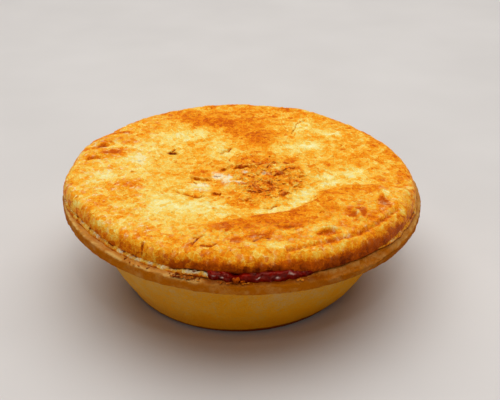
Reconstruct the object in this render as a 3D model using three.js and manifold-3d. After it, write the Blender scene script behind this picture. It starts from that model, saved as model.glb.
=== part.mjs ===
// A single-serve beef pie: a shortcrust case with a flared rim, its filling of beef in gravy,
// which has bubbled out at the front, and a flaky puff pastry lid.
// Millimetres, +Z up. The origin is under the middle of the case, and the front faces -Y.
import * as THREE from "three";
import { ImprovedNoise } from "three/addons/math/ImprovedNoise.js";
import { mergeVertices } from "three/addons/utils/BufferGeometryUtils.js";
import Module from "manifold-3d";

const { clamp, degToRad, lerp, radToDeg, seededRandom, smoothstep } = THREE.MathUtils;
const wasm = await Module();
wasm.setup();

// Driving dimensions of the case.
const rimRadius = 60;
const rimTop = 33.3;
const rimThickness = 4;
const rimEdge = 1.2;
const rimWidth = 7.5;
const baseRadius = 39.8;
const footRound = 1.6;
const neckRadius = 51.6;
const neckDrop = 1.8; // the side ends this far below the rim's underside
const flare = { share: 0.45, drop: 0.4 }; // the bend in the rim's underside
const sideBulge = 1.3;
const wallThickness = 3.4;
const floorThickness = 4;
const mouthBevel = 0.6;

// Driving dimensions of the lid, which has baked a little off centre.
const lidRadius = 57.4;
const lidShift = 1.4;
const lidThickness = 5.2;
const lidEdge = 0.8;
const shoulderWidth = 5.6;
const shoulderFullness = 0.6; // 1 is an ellipse, and less is squarer
const lidSag = 0.5;

// The pie has baked a little lower on its right: heights change by this share for each millimetre along X.
// Its foot is also shifted a little to the left.
const lean = 0.00078;
const footShift = -0.6;

// The outer part of the rim has baked a little to the right, and one stretch of the side has swollen out:
// its middle and half length as bearings, and the heights between which it swells.
const rimShift = 0.6;
const sideSwell = {
  middle: degToRad(57),
  half: degToRad(15),
  out: 1.2,
  from: 0,
  full: 4,
  fading: 10,
  gone: 26,
};

// The gaps that the pieces keep.
const gap = 0.3;
const fillGap = 0.9;

// The stretch of rim where gravy has come out, as bearings from the front. The filling rises there within
// width of the wall and runs out to lip from the rim's edge, and the lid's edge is pushed up over it.
// The rise and the lid's push are longer than the run by their extras at each end.
const leak = {
  middle: degToRad(5),
  half: degToRad(13),
  fade: degToRad(6),
  height: 1.2,
  width: 7,
  lip: 0.6,
  lipRound: 0.8,
  riseExtra: degToRad(6),
  lidExtra: degToRad(10),
  lidFrom: 38,
  lidFull: 43,
  crownShare: 0.25,
};

// The front of the lid is raised along an S-shaped fold that runs from its left to its right.
const fold = { front: -38, run: 27, middle: 20, spread: 8.5, width: 3.5, rise: 1.4, from: -24, full: -6 };

// Risen and sunken places of the lid: centre, half lengths, turn in degrees and rise.
const swellings = [
  { at: [-2, 37], along: 17, across: 7, turn: -8, rise: 1.1 },
  { at: [9, 24], along: 10, across: 6, turn: -30, rise: 0.8 },
  { at: [30, 26], along: 14, across: 9, turn: 30, rise: 0.6 },
  { at: [-37, -13], along: 7, across: 5, turn: 0, rise: 0.7 },
  { at: [-49, 16], along: 6, across: 3, turn: 25, rise: 0.9 },
  { at: [-51, 6], along: 5, across: 2.6, turn: 15, rise: 0.8 },
  { at: [-45, 31], along: 6, across: 3, turn: 55, rise: 0.8 },
  { at: [44, -20], along: 5.5, across: 3, turn: 65, rise: 0.9 },
  { at: [37, -32], along: 5.5, across: 3, turn: 75, rise: 0.9 },
  { at: [27, -41], along: 7, across: 3, turn: 12, rise: 0.8 },
  { at: [-21, 4], along: 17, across: 13, turn: 20, rise: -0.6 },
  { at: [-7, -12], along: 10, across: 5, turn: -20, rise: -0.9 },
];
const swellFalloff = 1.4;

// Stretches of the lid's edge that have spread or risen: their middle and half length as bearings,
// and how far they have moved out and up. The move starts at heaveFrom from the middle of the lid.
const heaves = [
  { middle: degToRad(-78), half: degToRad(13), out: 2.8, up: 0.1 },
  { middle: degToRad(-105), half: degToRad(15), out: 1.9, up: 0.2 },
  { middle: degToRad(-121), half: degToRad(7), out: -1.3, up: -0.2 },
  { middle: degToRad(156), half: degToRad(11), out: 0.3, up: 0.9 },
  { middle: degToRad(185), half: degToRad(22), out: 0, up: 0.4 },
];
const heaveFrom = 44;

// Flakes that have lifted off the lid: middle of the raised edge, reach behind it, half width,
// the way the edge faces in degrees from +X, and the height of the edge.
const flakes = [
  { edge: [3, -5], reach: 15, half: 7, faces: -95, lift: 1.5 },
  { edge: [-13, -11.5], reach: 8, half: 4.5, faces: -80, lift: 1.1 },
  { edge: [13, -7], reach: 7, half: 5, faces: -60, lift: 1.2 },
  { edge: [8, -18], reach: 9, half: 6, faces: -100, lift: 1.3 },
  { edge: [3, -28], reach: 8, half: 4.5, faces: -70, lift: 0.9 },
  { edge: [19, -18], reach: 8, half: 5, faces: -35, lift: 1 },
  { edge: [-15, -22], reach: 7, half: 4, faces: -95, lift: 0.8 },
  { edge: [-6, -20], reach: 6, half: 3, faces: -75, lift: 0.8 },
  { edge: [20, 31], reach: 12, half: 8, faces: 160, lift: 0.9 },
];
const flakeDepth = 2.4;
const flakeSink = 0.4; // a flake's back end lies this far below the lid's face
const flakeCorners = 11;
const flakeRagged = [0.8, 1.15];
const flakeSeed = 7;

// Crumbly unevenness: craggy in a patch at the middle of the lid, faint elsewhere, and a wavy rim.
// Each takes its own slice through the noise.
const crag = { at: [9, -8], radius: 22, grain: 5.5, rise: 1, slice: 1.3 };
const ripple = { grain: 13, rise: 0.35, slice: 5.9 };
const rimWave = { grain: 20, out: 0.35, down: 0.3, inset: 2, edge: 1, outSlice: 3.7, downSlice: 8.1 };
const noise = new ImprovedNoise();

// How finely the surfaces are divided.
const caseSectors = 72;
const lidSectors = 84;
const sideSteps = 8;
const wallSteps = 4;
const footSteps = 3;
const rimSteps = 3;
const shoulderSteps = 5;
const lidEdgeSteps = 2;
const lidTopSteps = 18;
const weld = 1e-4;

const pastryCase = new THREE.MeshStandardMaterial({ color: 0xc9943f, roughness: 0.7, metalness: 0 });
const beefGravy = new THREE.MeshStandardMaterial({ color: 0x5a1206, roughness: 0.2, metalness: 0 });
const puffPastry = new THREE.MeshStandardMaterial({ color: 0xeda83e, roughness: 0.5, metalness: 0 });

// Angle round the pie, 0 at the front and growing towards +X.
function bearing(x, y) {
  return Math.atan2(x, -y);
}

// 1 at the middle of a stretch given as bearings, falling away past its half length.
function nearness({ middle, half }, x, y) {
  const away = bearing(x, y) - middle;
  return Math.exp(-((Math.atan2(Math.sin(away), Math.cos(away)) / half) ** 2));
}

// 1 where the gravy comes out, fading to 0 past the ends of that stretch, which extra lengthens.
function leaking(angle, extra = 0) {
  const past = Math.abs(angle - leak.middle) - leak.half - extra;
  return 1 - smoothstep(past, 0, leak.fade);
}

function at(r, z) {
  return new THREE.Vector2(r, z);
}

// Points of a round from one direction to another, in degrees from +r towards +z.
function arc(r, z, radius, fromDeg, toDeg, steps) {
  return Array.from({ length: steps + 1 }, (_, i) => {
    const a = degToRad(lerp(fromDeg, toDeg, i / steps));
    return at(r + radius * Math.cos(a), z + radius * Math.sin(a));
  });
}

// Evenly spaced points of a straight or bulging run, without its two ends.
function between(r0, z0, r1, z1, steps, bulge = 0) {
  return Array.from({ length: steps - 1 }, (_, i) => {
    const t = (i + 1) / steps;
    return at(lerp(r0, r1, t) + bulge * Math.sin(Math.PI * t), lerp(z0, z1, t));
  });
}

// A body turned round Z whose profile runs from the axis below to the axis above. Each vertex is then moved.
function turned(profile, sectors, move) {
  const geometry = new THREE.LatheGeometry(profile, sectors).rotateX(Math.PI / 2);
  geometry.deleteAttribute("normal").deleteAttribute("uv");
  const closed = mergeVertices(geometry, weld);
  const place = closed.getAttribute("position");
  for (let i = 0; i < place.count; i++) {
    place.setXYZ(i, ...move(place.getX(i), place.getY(i), place.getZ(i)));
  }
  const corners = closed.index.array;
  const faces = [];
  for (let i = 0; i < corners.length; i += 3) {
    const [a, b, c] = corners.subarray(i, i + 3);
    if (a !== b && b !== c && c !== a) faces.push(a, b, c);
  }
  return closed.setIndex(faces);
}

function solidOf(geometry) {
  const vertProperties = new Float32Array(geometry.getAttribute("position").array);
  const triVerts = new Uint32Array(geometry.index.array);
  return new wasm.Manifold(new wasm.Mesh({ numProp: 3, vertProperties, triVerts }));
}

function geometryOf(solid) {
  const mesh = solid.getMesh();
  const geometry = new THREE.BufferGeometry();
  geometry.setAttribute("position", new THREE.BufferAttribute(mesh.vertProperties, 3));
  geometry.setIndex(new THREE.BufferAttribute(mesh.triVerts, 1));
  geometry.computeVertexNormals();
  return geometry;
}

// The case: a flat foot, bulging sides, a rim with a rounded edge, and a hollow for the filling.
const rimUnder = rimTop - rimThickness;
const neckHeight = rimUnder - neckDrop;
const mouthRadius = rimRadius - rimWidth;
const innerFoot = baseRadius - wallThickness;
function caseProfile() {
  const sideLean = radToDeg(Math.atan2(neckRadius - baseRadius, neckHeight - footRound));
  const rimLean = radToDeg(Math.atan2(flare.drop, (1 - flare.share) * (rimRadius - neckRadius)));
  return [
    at(0, 0),
    at((baseRadius - footRound) / 2, 0),
    ...arc(baseRadius - footRound, footRound, footRound, -90, -sideLean, footSteps),
    ...between(baseRadius, footRound, neckRadius, neckHeight, sideSteps, sideBulge),
    at(neckRadius, neckHeight),
    at(lerp(neckRadius, rimRadius, flare.share), rimUnder - flare.drop),
    ...arc(rimRadius - rimEdge, rimUnder + rimEdge, rimEdge, rimLean - 90, 0, rimSteps),
    ...arc(rimRadius - rimEdge, rimTop - rimEdge, rimEdge, 0, 90, rimSteps),
    at(mouthRadius + mouthBevel, rimTop),
    at(mouthRadius, rimTop - mouthBevel),
    ...between(mouthRadius, rimTop - mouthBevel, innerFoot, floorThickness + footRound, wallSteps),
    at(innerFoot, floorThickness + footRound),
    at(innerFoot - footRound, floorThickness),
    at(0, floorThickness),
  ];
}

function swelledSide(x, y, z) {
  const { out, from, full, fading, gone } = sideSwell;
  return out * nearness(sideSwell, x, y) * smoothstep(z, from, full) * (1 - smoothstep(z, fading, gone));
}

// The rim wanders in and out and lies a little to the right, its outer edge rises and falls,
// and the side swells.
function shapeCase(x, y, z) {
  const r = Math.hypot(x, y);
  const outer = smoothstep(r, mouthRadius + rimWave.inset, rimRadius - rimWave.edge);
  const share = outer * smoothstep(z, neckHeight, rimTop - rimWave.edge);
  const [u, v] = [x / rimWave.grain, y / rimWave.grain];
  const out = share * rimWave.out * noise.noise(u, v, rimWave.outSlice) + swelledSide(x, y, z);
  const down = share * rimWave.down * (noise.noise(u, v, rimWave.downSlice) - 1);
  const grow = r > 0 ? 1 + out / r : 1;
  return [x * grow + share * rimShift, y * grow, z + down];
}

// The filling: it fills the hollow and, at the front, spills over the rim below the lid.
// Its upper edge is a few close rings, which the spill spreads apart.
const fillRadius = mouthRadius - fillGap;
const fillFoot = innerFoot - fillGap;
const fillTop = rimTop - gap;
const fillTopRadii = [fillRadius - 4, fillRadius - 10, fillRadius / 2, 0];
const edgeRings = 4;
const edgeStep = 0.15;
function fillingProfile() {
  const floor = floorThickness + gap;
  return [
    at(0, floor),
    at(fillFoot - footRound, floor),
    at(fillFoot, floor + footRound),
    ...between(fillFoot, floor + footRound, fillRadius, fillTop - edgeRings * edgeStep, wallSteps),
    ...Array.from({ length: edgeRings + 1 }, (_, i) => at(fillRadius, fillTop + (i - edgeRings) * edgeStep)),
    ...fillTopRadii.map((r) => at(r, fillTop)),
  ];
}

// Where the gravy comes out, the edge of the filling rises past the rim and runs out over it:
// its lowest ring only rises, and the rings above it make a rounded lip.
const lipMiddle = 0.6;
function spill(x, y, z) {
  const r = Math.hypot(x, y);
  const ring = Math.round((z - fillTop) / edgeStep) + edgeRings;
  if (ring < 1 || r < fillRadius - leak.width) return [x, y, z];
  const angle = bearing(x, y);
  const up = leaking(angle, leak.riseExtra);
  const share = (ring - 1) / (edgeRings - 1);
  const lifted = rimTop + gap + share * (leak.height - gap);
  const runsOut = ring > 1 && r > fillTopRadii[0] + edgeStep;
  const reach = runsOut ? leaking(angle) : 0;
  const lip = rimRadius - leak.lip - leak.lipRound * Math.abs(share - lipMiddle);
  const grow = lerp(r, lip, reach) / r;
  return [x * grow, y * grow, lerp(z, lifted, up)];
}

// The lid: a disc with a rounded shoulder, its upper face shaped by the fold, swellings and crags.
const lidUnder = rimTop + gap;
const lidCrown = lidUnder + lidThickness;
const lidShoulder = lidRadius - shoulderWidth;
const lidUnderRadii = [0, 20, leak.lidFrom, leak.lidFull + 1, lidShoulder];
function lidProfile() {
  const rise = lidThickness - lidEdge;
  const rounded = arc(0, 0, 1, 0, 80, shoulderSteps).map((p) =>
    at(lidShoulder + shoulderWidth * p.x ** shoulderFullness, lidUnder + lidEdge + rise * p.y),
  );
  return [
    ...lidUnderRadii.map((r) => at(r, lidUnder)),
    ...arc(lidRadius - lidEdge, lidUnder + lidEdge, lidEdge, -90, -30, lidEdgeSteps),
    ...rounded,
    ...between(lidShoulder, lidCrown, 0, lidCrown, lidTopSteps),
    at(0, lidCrown),
  ];
}

// How far the fold has raised the lid at a point: all of it in front of the S-shaped line.
function folded(x, y) {
  const line = fold.front + fold.run / (1 + Math.exp(-(x - fold.middle) / fold.spread));
  const inFront = smoothstep(line - y, -fold.width / 2, fold.width / 2);
  return fold.rise * inFront * smoothstep(x, fold.from, fold.full);
}

function swollen(x, y) {
  let sum = 0;
  for (const { at: [cx, cy], along, across, turn, rise } of swellings) {
    const a = degToRad(turn);
    const u = ((x - cx) * Math.cos(a) + (y - cy) * Math.sin(a)) / along;
    const v = ((y - cy) * Math.cos(a) - (x - cx) * Math.sin(a)) / across;
    sum += rise * Math.exp(-swellFalloff * (u * u + v * v));
  }
  return sum;
}

function craggy(x, y) {
  const near = Math.exp(-((x - crag.at[0]) ** 2 + (y - crag.at[1]) ** 2) / crag.radius ** 2);
  const rough = crag.rise * near * noise.noise(x / crag.grain, y / crag.grain, crag.slice);
  return rough + ripple.rise * noise.noise(x / ripple.grain, y / ripple.grain, ripple.slice);
}

function relief(x, y) {
  const r = Math.hypot(x - lidShift, y);
  const inner = 1 - smoothstep(r, lidShoulder, lidRadius);
  const sunken = lidSag * (1 - (r / lidRadius) ** 2);
  return inner * (folded(x, y) + swollen(x, y) + craggy(x, y)) - sunken;
}

function heaved(x, y) {
  const edge = smoothstep(Math.hypot(x, y), heaveFrom, lidRadius);
  const move = { out: 0, up: 0 };
  for (const heave of heaves) {
    const share = edge * nearness(heave, x, y);
    move.out += heave.out * share;
    move.up += heave.up * share;
  }
  return move;
}

// The upper face takes the relief and heaves, and the edge over the leak is pushed up.
const upperFace = { from: lidUnder + 0.35 * lidThickness, full: lidUnder + 0.9 * lidThickness };
function shapeLid(x, y, z) {
  const upper = smoothstep(z, upperFace.from, upperFace.full);
  const r = Math.hypot(x, y);
  const outer = smoothstep(r, leak.lidFrom, leak.lidFull);
  const raised = leak.height * leaking(bearing(x, y), leak.lidExtra) * outer;
  const heave = heaved(x, y);
  const grow = r > 0 ? 1 + heave.out / r : 1;
  const [px, py] = [x * grow + lidShift, y * grow];
  return [px, py, z + lerp(raised, relief(px, py) + leak.crownShare * raised + heave.up, upper)];
}

// One flake: a ragged wedge that stands up at its edge and sinks into the lid behind it.
function flakeSolid({ edge, reach, half, faces, lift }) {
  const corners = Array.from({ length: flakeCorners }, (_, i) => {
    const a = (i / flakeCorners) * 2 * Math.PI;
    const ragged = lerp(...flakeRagged, seededRandom());
    return at((Math.cos(a) * ragged - 1) * (reach / 2), Math.sin(a) * ragged * half);
  });
  const outline = new THREE.Shape(corners);
  const slab = new THREE.ExtrudeGeometry(outline, { depth: flakeDepth, bevelEnabled: false });
  const tilt = Math.atan2(lift + flakeSink, reach);
  slab.translate(0, 0, -flakeDepth).rotateY(-tilt).rotateZ(degToRad(faces));
  slab.translate(...edge, lidCrown + relief(...edge) + lift);
  slab.deleteAttribute("normal").deleteAttribute("uv");
  return solidOf(mergeVertices(slab, weld));
}

function lidGeometry() {
  seededRandom(flakeSeed);
  let lid = solidOf(turned(lidProfile(), lidSectors, shapeLid));
  for (const flake of flakes) lid = lid.add(flakeSolid(flake));
  return geometryOf(lid);
}

// The settled shape of a finished piece: lower towards the right, with its foot to the left.
function settled(geometry) {
  const place = geometry.getAttribute("position");
  for (let i = 0; i < place.count; i++) {
    const [x, z] = [place.getX(i), place.getZ(i)];
    place.setX(i, x + footShift * clamp(1 - z / rimTop, 0, 1));
    place.setZ(i, z * (1 - lean * x));
  }
  return geometry;
}

function piece(name, geometry, material) {
  const mesh = new THREE.Mesh(settled(geometry), material);
  mesh.name = name;
  return mesh;
}

const pie = new THREE.Group();
pie.name = "beef_pie";
pie.add(
  piece("case", turned(caseProfile(), caseSectors, shapeCase), pastryCase),
  piece("filling", turned(fillingProfile(), caseSectors, spill), beefGravy),
  piece("lid", lidGeometry(), puffPastry),
);

export default pie;
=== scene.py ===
import math

import bpy
import numpy as np
from mathutils import Matrix, Vector


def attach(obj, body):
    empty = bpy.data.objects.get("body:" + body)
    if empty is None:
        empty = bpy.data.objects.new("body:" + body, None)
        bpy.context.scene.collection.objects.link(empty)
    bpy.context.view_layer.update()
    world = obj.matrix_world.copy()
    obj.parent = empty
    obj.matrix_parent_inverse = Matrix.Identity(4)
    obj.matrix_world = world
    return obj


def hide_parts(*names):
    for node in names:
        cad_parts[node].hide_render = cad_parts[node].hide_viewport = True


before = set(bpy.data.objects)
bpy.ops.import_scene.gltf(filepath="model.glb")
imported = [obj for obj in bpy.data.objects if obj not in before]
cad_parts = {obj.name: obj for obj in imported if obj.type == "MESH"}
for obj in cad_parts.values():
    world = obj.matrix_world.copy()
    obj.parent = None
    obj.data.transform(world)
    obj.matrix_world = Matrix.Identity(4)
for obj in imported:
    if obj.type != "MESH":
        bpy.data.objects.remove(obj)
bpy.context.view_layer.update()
print("frame loaded:", ", ".join(sorted(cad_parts)))

mm = 0.001

# the whole pie: it stands a little lower on its right, and its foot is a little to the left
pie = {"rimRadius": 60.0, "rimTop": 33.3, "lean": 0.00078, "footShift": -0.6, "rimShift": 0.6, "gap": 0.3}


# small helpers for shaping, all in millimetres

def smooth(value, low, high):
    t = np.clip((np.asarray(value, float) - low) / (high - low), 0.0, 1.0)
    return t * t * (3.0 - 2.0 * t)


def mixed(a, b, t):
    return a + (b - a) * t


def bearing(x, y):
    return np.degrees(np.arctan2(x, -y))  # 0 at the front, growing to the right


def turnBetween(a, b):
    return (a - b + 180.0) % 360.0 - 180.0


def hump(value, middle, half):
    return np.exp(-(((value - middle) / half) ** 2))


def between(value, start, full, fading, end):
    return smooth(value, start, full) * (1.0 - smooth(value, fading, end))


def stretchShare(angle, middle, half):
    return hump(turnBetween(angle, middle), 0.0, half)


def settled(points):
    x = points[:, 0]
    z = points[:, 2]
    out = points.copy()
    out[:, 0] = x + pie["footShift"] * np.clip(1.0 - z / pie["rimTop"], 0.0, 1.0)
    out[:, 2] = z * (1.0 - pie["lean"] * x)
    return out * mm


grainDice = np.random.default_rng(41)
grainTable = np.tile(grainDice.permutation(256), 3)
grainDirs = grainDice.normal(size=(256, 3))
grainDirs /= np.linalg.norm(grainDirs, axis=1)[:, None]


def grain(points, size, seed=0):
    # soft random bumps of a given size, about -1 to 1
    q = np.asarray(points, float) / np.asarray(size, float) + 11.37 * seed + 100.0
    cell = np.floor(q).astype(int)
    f = q - cell
    cell = cell & 255
    w = f * f * f * (f * (f * 6.0 - 15.0) + 10.0)
    total = np.zeros(len(q))
    for ix in (0, 1):
        wx = w[:, 0] if ix else 1.0 - w[:, 0]
        for iy in (0, 1):
            wy = w[:, 1] if iy else 1.0 - w[:, 1]
            for iz in (0, 1):
                wz = w[:, 2] if iz else 1.0 - w[:, 2]
                hashed = grainTable[cell[:, 0] + ix]
                hashed = grainTable[hashed + cell[:, 1] + iy]
                hashed = grainTable[hashed + cell[:, 2] + iz]
                away = f - np.array([ix, iy, iz])
                total += wx * wy * wz * np.einsum("ij,ij->i", grainDirs[hashed], away)
    return total * 1.7


def layered(points, size, layers=4, keep=0.5, seed=0):
    total = np.zeros(len(points))
    strength = 1.0
    for i in range(layers):
        total += strength * grain(points, np.asarray(size, float) / 2.0 ** i, seed + 3 * i)
        strength *= keep
    return total


def spotShare(x, y, at, along, across, turn=0.0, hard=1.0):
    a = math.radians(turn)
    u = ((x - at[0]) * math.cos(a) + (y - at[1]) * math.sin(a)) / along
    v = ((y - at[1]) * math.cos(a) - (x - at[0]) * math.sin(a)) / across
    return np.exp(-((u * u + v * v) ** hard))


def lineAway(x, y, points):
    # distance from a drawn line, and how far along it the nearest place is
    best = np.full(len(x), 1e9)
    place = np.zeros(len(x))
    count = len(points) - 1
    for i in range(count):
        (ax, ay), (bx, by) = points[i], points[i + 1]
        dx, dy = bx - ax, by - ay
        t = np.clip(((x - ax) * dx + (y - ay) * dy) / (dx * dx + dy * dy), 0.0, 1.0)
        d = np.hypot(x - ax - t * dx, y - ay - t * dy)
        nearer = d < best
        best = np.where(nearer, d, best)
        place = np.where(nearer, (i + t) / count, place)
    return best, place


def flat3(x, y, z=0.0):
    return np.stack([x, y, np.broadcast_to(z, np.shape(x))], axis=1)


def linearColor(r, g, b):
    def one(c):
        c /= 255.0
        return c / 12.92 if c <= 0.04045 else ((c + 0.055) / 1.055) ** 2.4
    return (one(r), one(g), one(b), 1.0)


def makePiece(name, points, faces, material, values=None):
    mesh = bpy.data.meshes.new(name)
    mesh.from_pydata(points.tolist(), [], faces)
    mesh.update()
    mesh.polygons.foreach_set("use_smooth", np.ones(len(mesh.polygons), dtype=bool))
    for key, value in (values or {}).items():
        layer = mesh.attributes.new(key, "FLOAT", "POINT")
        layer.data.foreach_set("value", np.asarray(value, dtype=np.float32))
    piece = bpy.data.objects.new(name, mesh)
    bpy.context.scene.collection.objects.link(piece)
    mesh.materials.append(material)
    return piece


def turnedFaces(rings, sectors):
    # quads of a turned body whose first and last points are single points on the axis
    faces = []
    for i in range(rings - 1):
        low = 1 + i * sectors
        high = low + sectors
        for j in range(sectors):
            k = (j + 1) % sectors
            faces.append((low + j, low + k, high + k, high + j))
    last = 1 + rings * sectors
    for j in range(sectors):
        k = (j + 1) % sectors
        faces.append((0, 1 + k, 1 + j))
        faces.append((last, last - sectors + j, last - sectors + k))
    return faces


def turnedPoints(profile, sectors):
    # profile from the axis below to the axis above, as rows of radius and height
    turn = np.arange(sectors) / sectors * 2.0 * math.pi
    inner = profile[1:-1]
    r = np.repeat(inner[:, 0], sectors)
    z = np.repeat(inner[:, 1], sectors)
    t = np.tile(turn, len(inner))
    ring = flat3(r * np.sin(t), -r * np.cos(t), z)
    return np.concatenate([[[0.0, 0.0, profile[0, 1]]], ring, [[0.0, 0.0, profile[-1, 1]]]])


def roundPart(r, z, radius, fromDeg, toDeg, steps):
    a = np.radians(np.linspace(fromDeg, toDeg, steps))
    return np.stack([r + radius * np.cos(a), z + radius * np.sin(a)], axis=1)


def evenly(points, step):
    # the same run of points, spread at an even step
    d = np.concatenate([[0.0], np.cumsum(np.linalg.norm(np.diff(points, axis=0), axis=1))])
    s = np.linspace(0.0, d[-1], max(2, int(round(d[-1] / step)) + 1))
    return np.stack([np.interp(s, d, points[:, 0]), np.interp(s, d, points[:, 1])], axis=1)


def discGrid(n):
    # a square grid bent into a disc, with even cells: how far out each point is, and which way
    line = np.linspace(-1.0, 1.0, n + 1)
    a, b = np.meshgrid(line, line, indexing="ij")
    a, b = a.ravel(), b.ravel()
    wide = np.abs(a) > np.abs(b)
    safeA = np.where(a == 0.0, 1.0, a)
    safeB = np.where(b == 0.0, 1.0, b)
    turn = np.where(wide, math.pi / 4 * b / safeA, math.pi / 2 - math.pi / 4 * a / safeB)
    reach = np.where(wide, a, b)
    sign = np.where(reach < 0.0, -1.0, 1.0)
    return np.abs(reach), np.cos(turn) * sign, np.sin(turn) * sign


def closeDisc(points, n, level, values):
    # faces of a disc grid, closed below by a flat underside
    def at(i, j):
        return i * (n + 1) + j

    faces = [(at(i, j), at(i + 1, j), at(i + 1, j + 1), at(i, j + 1)) for i in range(n) for j in range(n)]
    border = [at(i, 0) for i in range(n)] + [at(n, j) for j in range(n)]
    border += [at(i, n) for i in range(n, 0, -1)] + [at(0, j) for j in range(n, 0, -1)]
    count, m = len(points), len(border)
    middle = points[border].mean(axis=0)
    middle[2] = level
    ring = mixed(middle, points[border], 0.5)
    ring[:, 2] = level
    for i in range(m):
        j = (i + 1) % m
        faces.append((border[j], border[i], count + i, count + j))
        faces.append((count + j, count + i, count + m))
    for key in values:
        values[key] = np.concatenate([values[key], np.zeros(m + 1)])
    return np.concatenate([points, ring, middle[None, :]]), faces


# material helpers

def addNode(tree, kind, **settings):
    node = tree.nodes.new(kind)
    for key, value in settings.items():
        setattr(node, key, value)
    return node


def newFinish(name):
    material = bpy.data.materials.new(name)
    material.use_nodes = True
    tree = material.node_tree
    return material, tree, addNode(tree, "ShaderNodeTexCoord").outputs["Object"]


def readValue(tree, name):
    return addNode(tree, "ShaderNodeAttribute", attribute_name=name).outputs["Fac"]


def noiseOf(tree, place, size, detail=3.0, rough=0.55, swirl=0.0):
    node = addNode(tree, "ShaderNodeTexNoise")
    node.inputs["Distortion"].default_value = swirl
    node.inputs["Scale"].default_value = 1.0 / (size * mm)
    node.inputs["Detail"].default_value = detail
    node.inputs["Roughness"].default_value = rough
    tree.links.new(place, node.inputs["Vector"])
    return node.outputs["Fac"]


def sumOf(tree, a, b, factor=1.0, offset=0.0):
    # a + factor * (b + offset)
    shift = addNode(tree, "ShaderNodeMath", operation="ADD")
    tree.links.new(b, shift.inputs[0])
    shift.inputs[1].default_value = offset
    node = addNode(tree, "ShaderNodeMath", operation="MULTIPLY_ADD")
    tree.links.new(shift.outputs[0], node.inputs[0])
    node.inputs[1].default_value = factor
    tree.links.new(a, node.inputs[2])
    return node.outputs[0]


def addedUp(tree, value, parts, shares):
    # a value with noises on top, each about its own middle and by its own share
    for name, share in shares.items():
        value = sumOf(tree, value, parts[name], share, -0.5)
    return value


def productOf(tree, a, b):
    node = addNode(tree, "ShaderNodeMath", operation="MULTIPLY", use_clamp=True)
    tree.links.new(a, node.inputs[0])
    tree.links.new(b, node.inputs[1])
    return node.outputs[0]


def rampOf(tree, value, stops):
    node = addNode(tree, "ShaderNodeValToRGB")
    ramp = node.color_ramp
    while len(ramp.elements) < len(stops):
        ramp.elements.new(0.5)
    for element, (place, color) in zip(ramp.elements, stops):
        element.position = place
        element.color = linearColor(*color)
    tree.links.new(value, node.inputs["Fac"])
    return node.outputs["Color"]


def blendOf(tree, share, a, b):
    node = addNode(tree, "ShaderNodeMix", data_type="RGBA")
    tree.links.new(share, node.inputs[0])
    for socket, color in ((node.inputs[6], a), (node.inputs[7], b)):
        if isinstance(color, tuple):
            socket.default_value = linearColor(*color)
        else:
            tree.links.new(color, socket)
    return node.outputs[2]


def flakesOf(tree, place, size, warp, rimWidth, crackWidth):
    # torn patches: the tone of each, how near its edge is, and the thin crack along it
    bend = noiseOf(tree, place, size, 4.0, 0.65).node
    move = addNode(tree, "ShaderNodeVectorMath", operation="MULTIPLY_ADD")
    tree.links.new(bend.outputs["Color"], move.inputs[0])
    move.inputs[1].default_value = (warp * mm, warp * mm, warp * mm)
    tree.links.new(place, move.inputs[2])
    cells = addNode(tree, "ShaderNodeTexVoronoi")
    edges = addNode(tree, "ShaderNodeTexVoronoi", feature="DISTANCE_TO_EDGE")
    for node in (cells, edges):
        node.inputs["Scale"].default_value = 1.0 / (size * mm)
        tree.links.new(move.outputs[0], node.inputs["Vector"])
    split = addNode(tree, "ShaderNodeSeparateColor")
    tree.links.new(cells.outputs["Color"], split.inputs[0])
    rims = []
    for width in (rimWidth, crackWidth):
        near = addNode(tree, "ShaderNodeMapRange", interpolation_type="SMOOTHSTEP")
        near.inputs["From Max"].default_value = width
        near.inputs["To Min"].default_value = 1.0
        near.inputs["To Max"].default_value = 0.0
        tree.links.new(edges.outputs["Distance"], near.inputs["Value"])
        rims.append(near.outputs["Result"])
    return split.outputs[0], *rims


def coverWith(tree, color, finish, height=None):
    # colour and gloss on the shader's own sockets, and bump where there is a height
    shader = tree.nodes["Principled BSDF"]
    tree.links.new(color, shader.inputs["Base Color"])
    shader.inputs["Roughness"].default_value = finish["roughness"]
    shader.inputs["Specular IOR Level"].default_value = finish["gloss"]
    shader.inputs["Specular Tint"].default_value = linearColor(*finish["sheen"])
    if height is None:
        return
    strength, distance = finish["bump"]
    node = addNode(tree, "ShaderNodeBump")
    node.inputs["Strength"].default_value = strength
    node.inputs["Distance"].default_value = distance * mm
    tree.links.new(height, node.inputs["Height"])
    tree.links.new(node.outputs["Normal"], shader.inputs["Normal"])


# finishes: noises are given as size in millimetres, detail, roughness and swirl, bump as strength and depth

lidFinish = {
    "stops": [
        (0.00, (255, 243, 174)),
        (0.20, (255, 226, 120)),
        (0.40, (255, 200, 74)),
        (0.55, (255, 171, 31)),
        (0.70, (250, 145, 11)),
        (0.85, (236, 120, 3)),
        (1.00, (208, 90, 1)),
    ],
    # the colour of dark marks, used both for browned marks and for painted shade
    "dark": (104, 28, 0),
    # colours for floury places and for painted highlights
    "flourAndHighlight": [(0.20, (255, 206, 130)), (0.45, (255, 246, 206))],
    "noises": {
        "fine": (1.0, 3.0, 0.6, 4.0),
        "middling": (2.4, 4.0, 0.62, 2.0),
        "coarse": (6.0, 2.0, 0.5, 0.8),
    },
    # the flake rims carry a painted highlight and the cracks painted shade
    "flakes": (2.0, 3.0, 0.14, 0.06),  # size, pull, width of rim and of crack
    "browning": {"fine": 0.78, "middling": 0.6, "coarse": 0.35, "flakes": 0.28},
    "rims": -0.18,
    "marks": 0.45,
    "roughness": 0.45,
    "gloss": 0.1,
    "sheen": (255, 200, 100),
    "bump": (0.8, 0.5),
}


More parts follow.
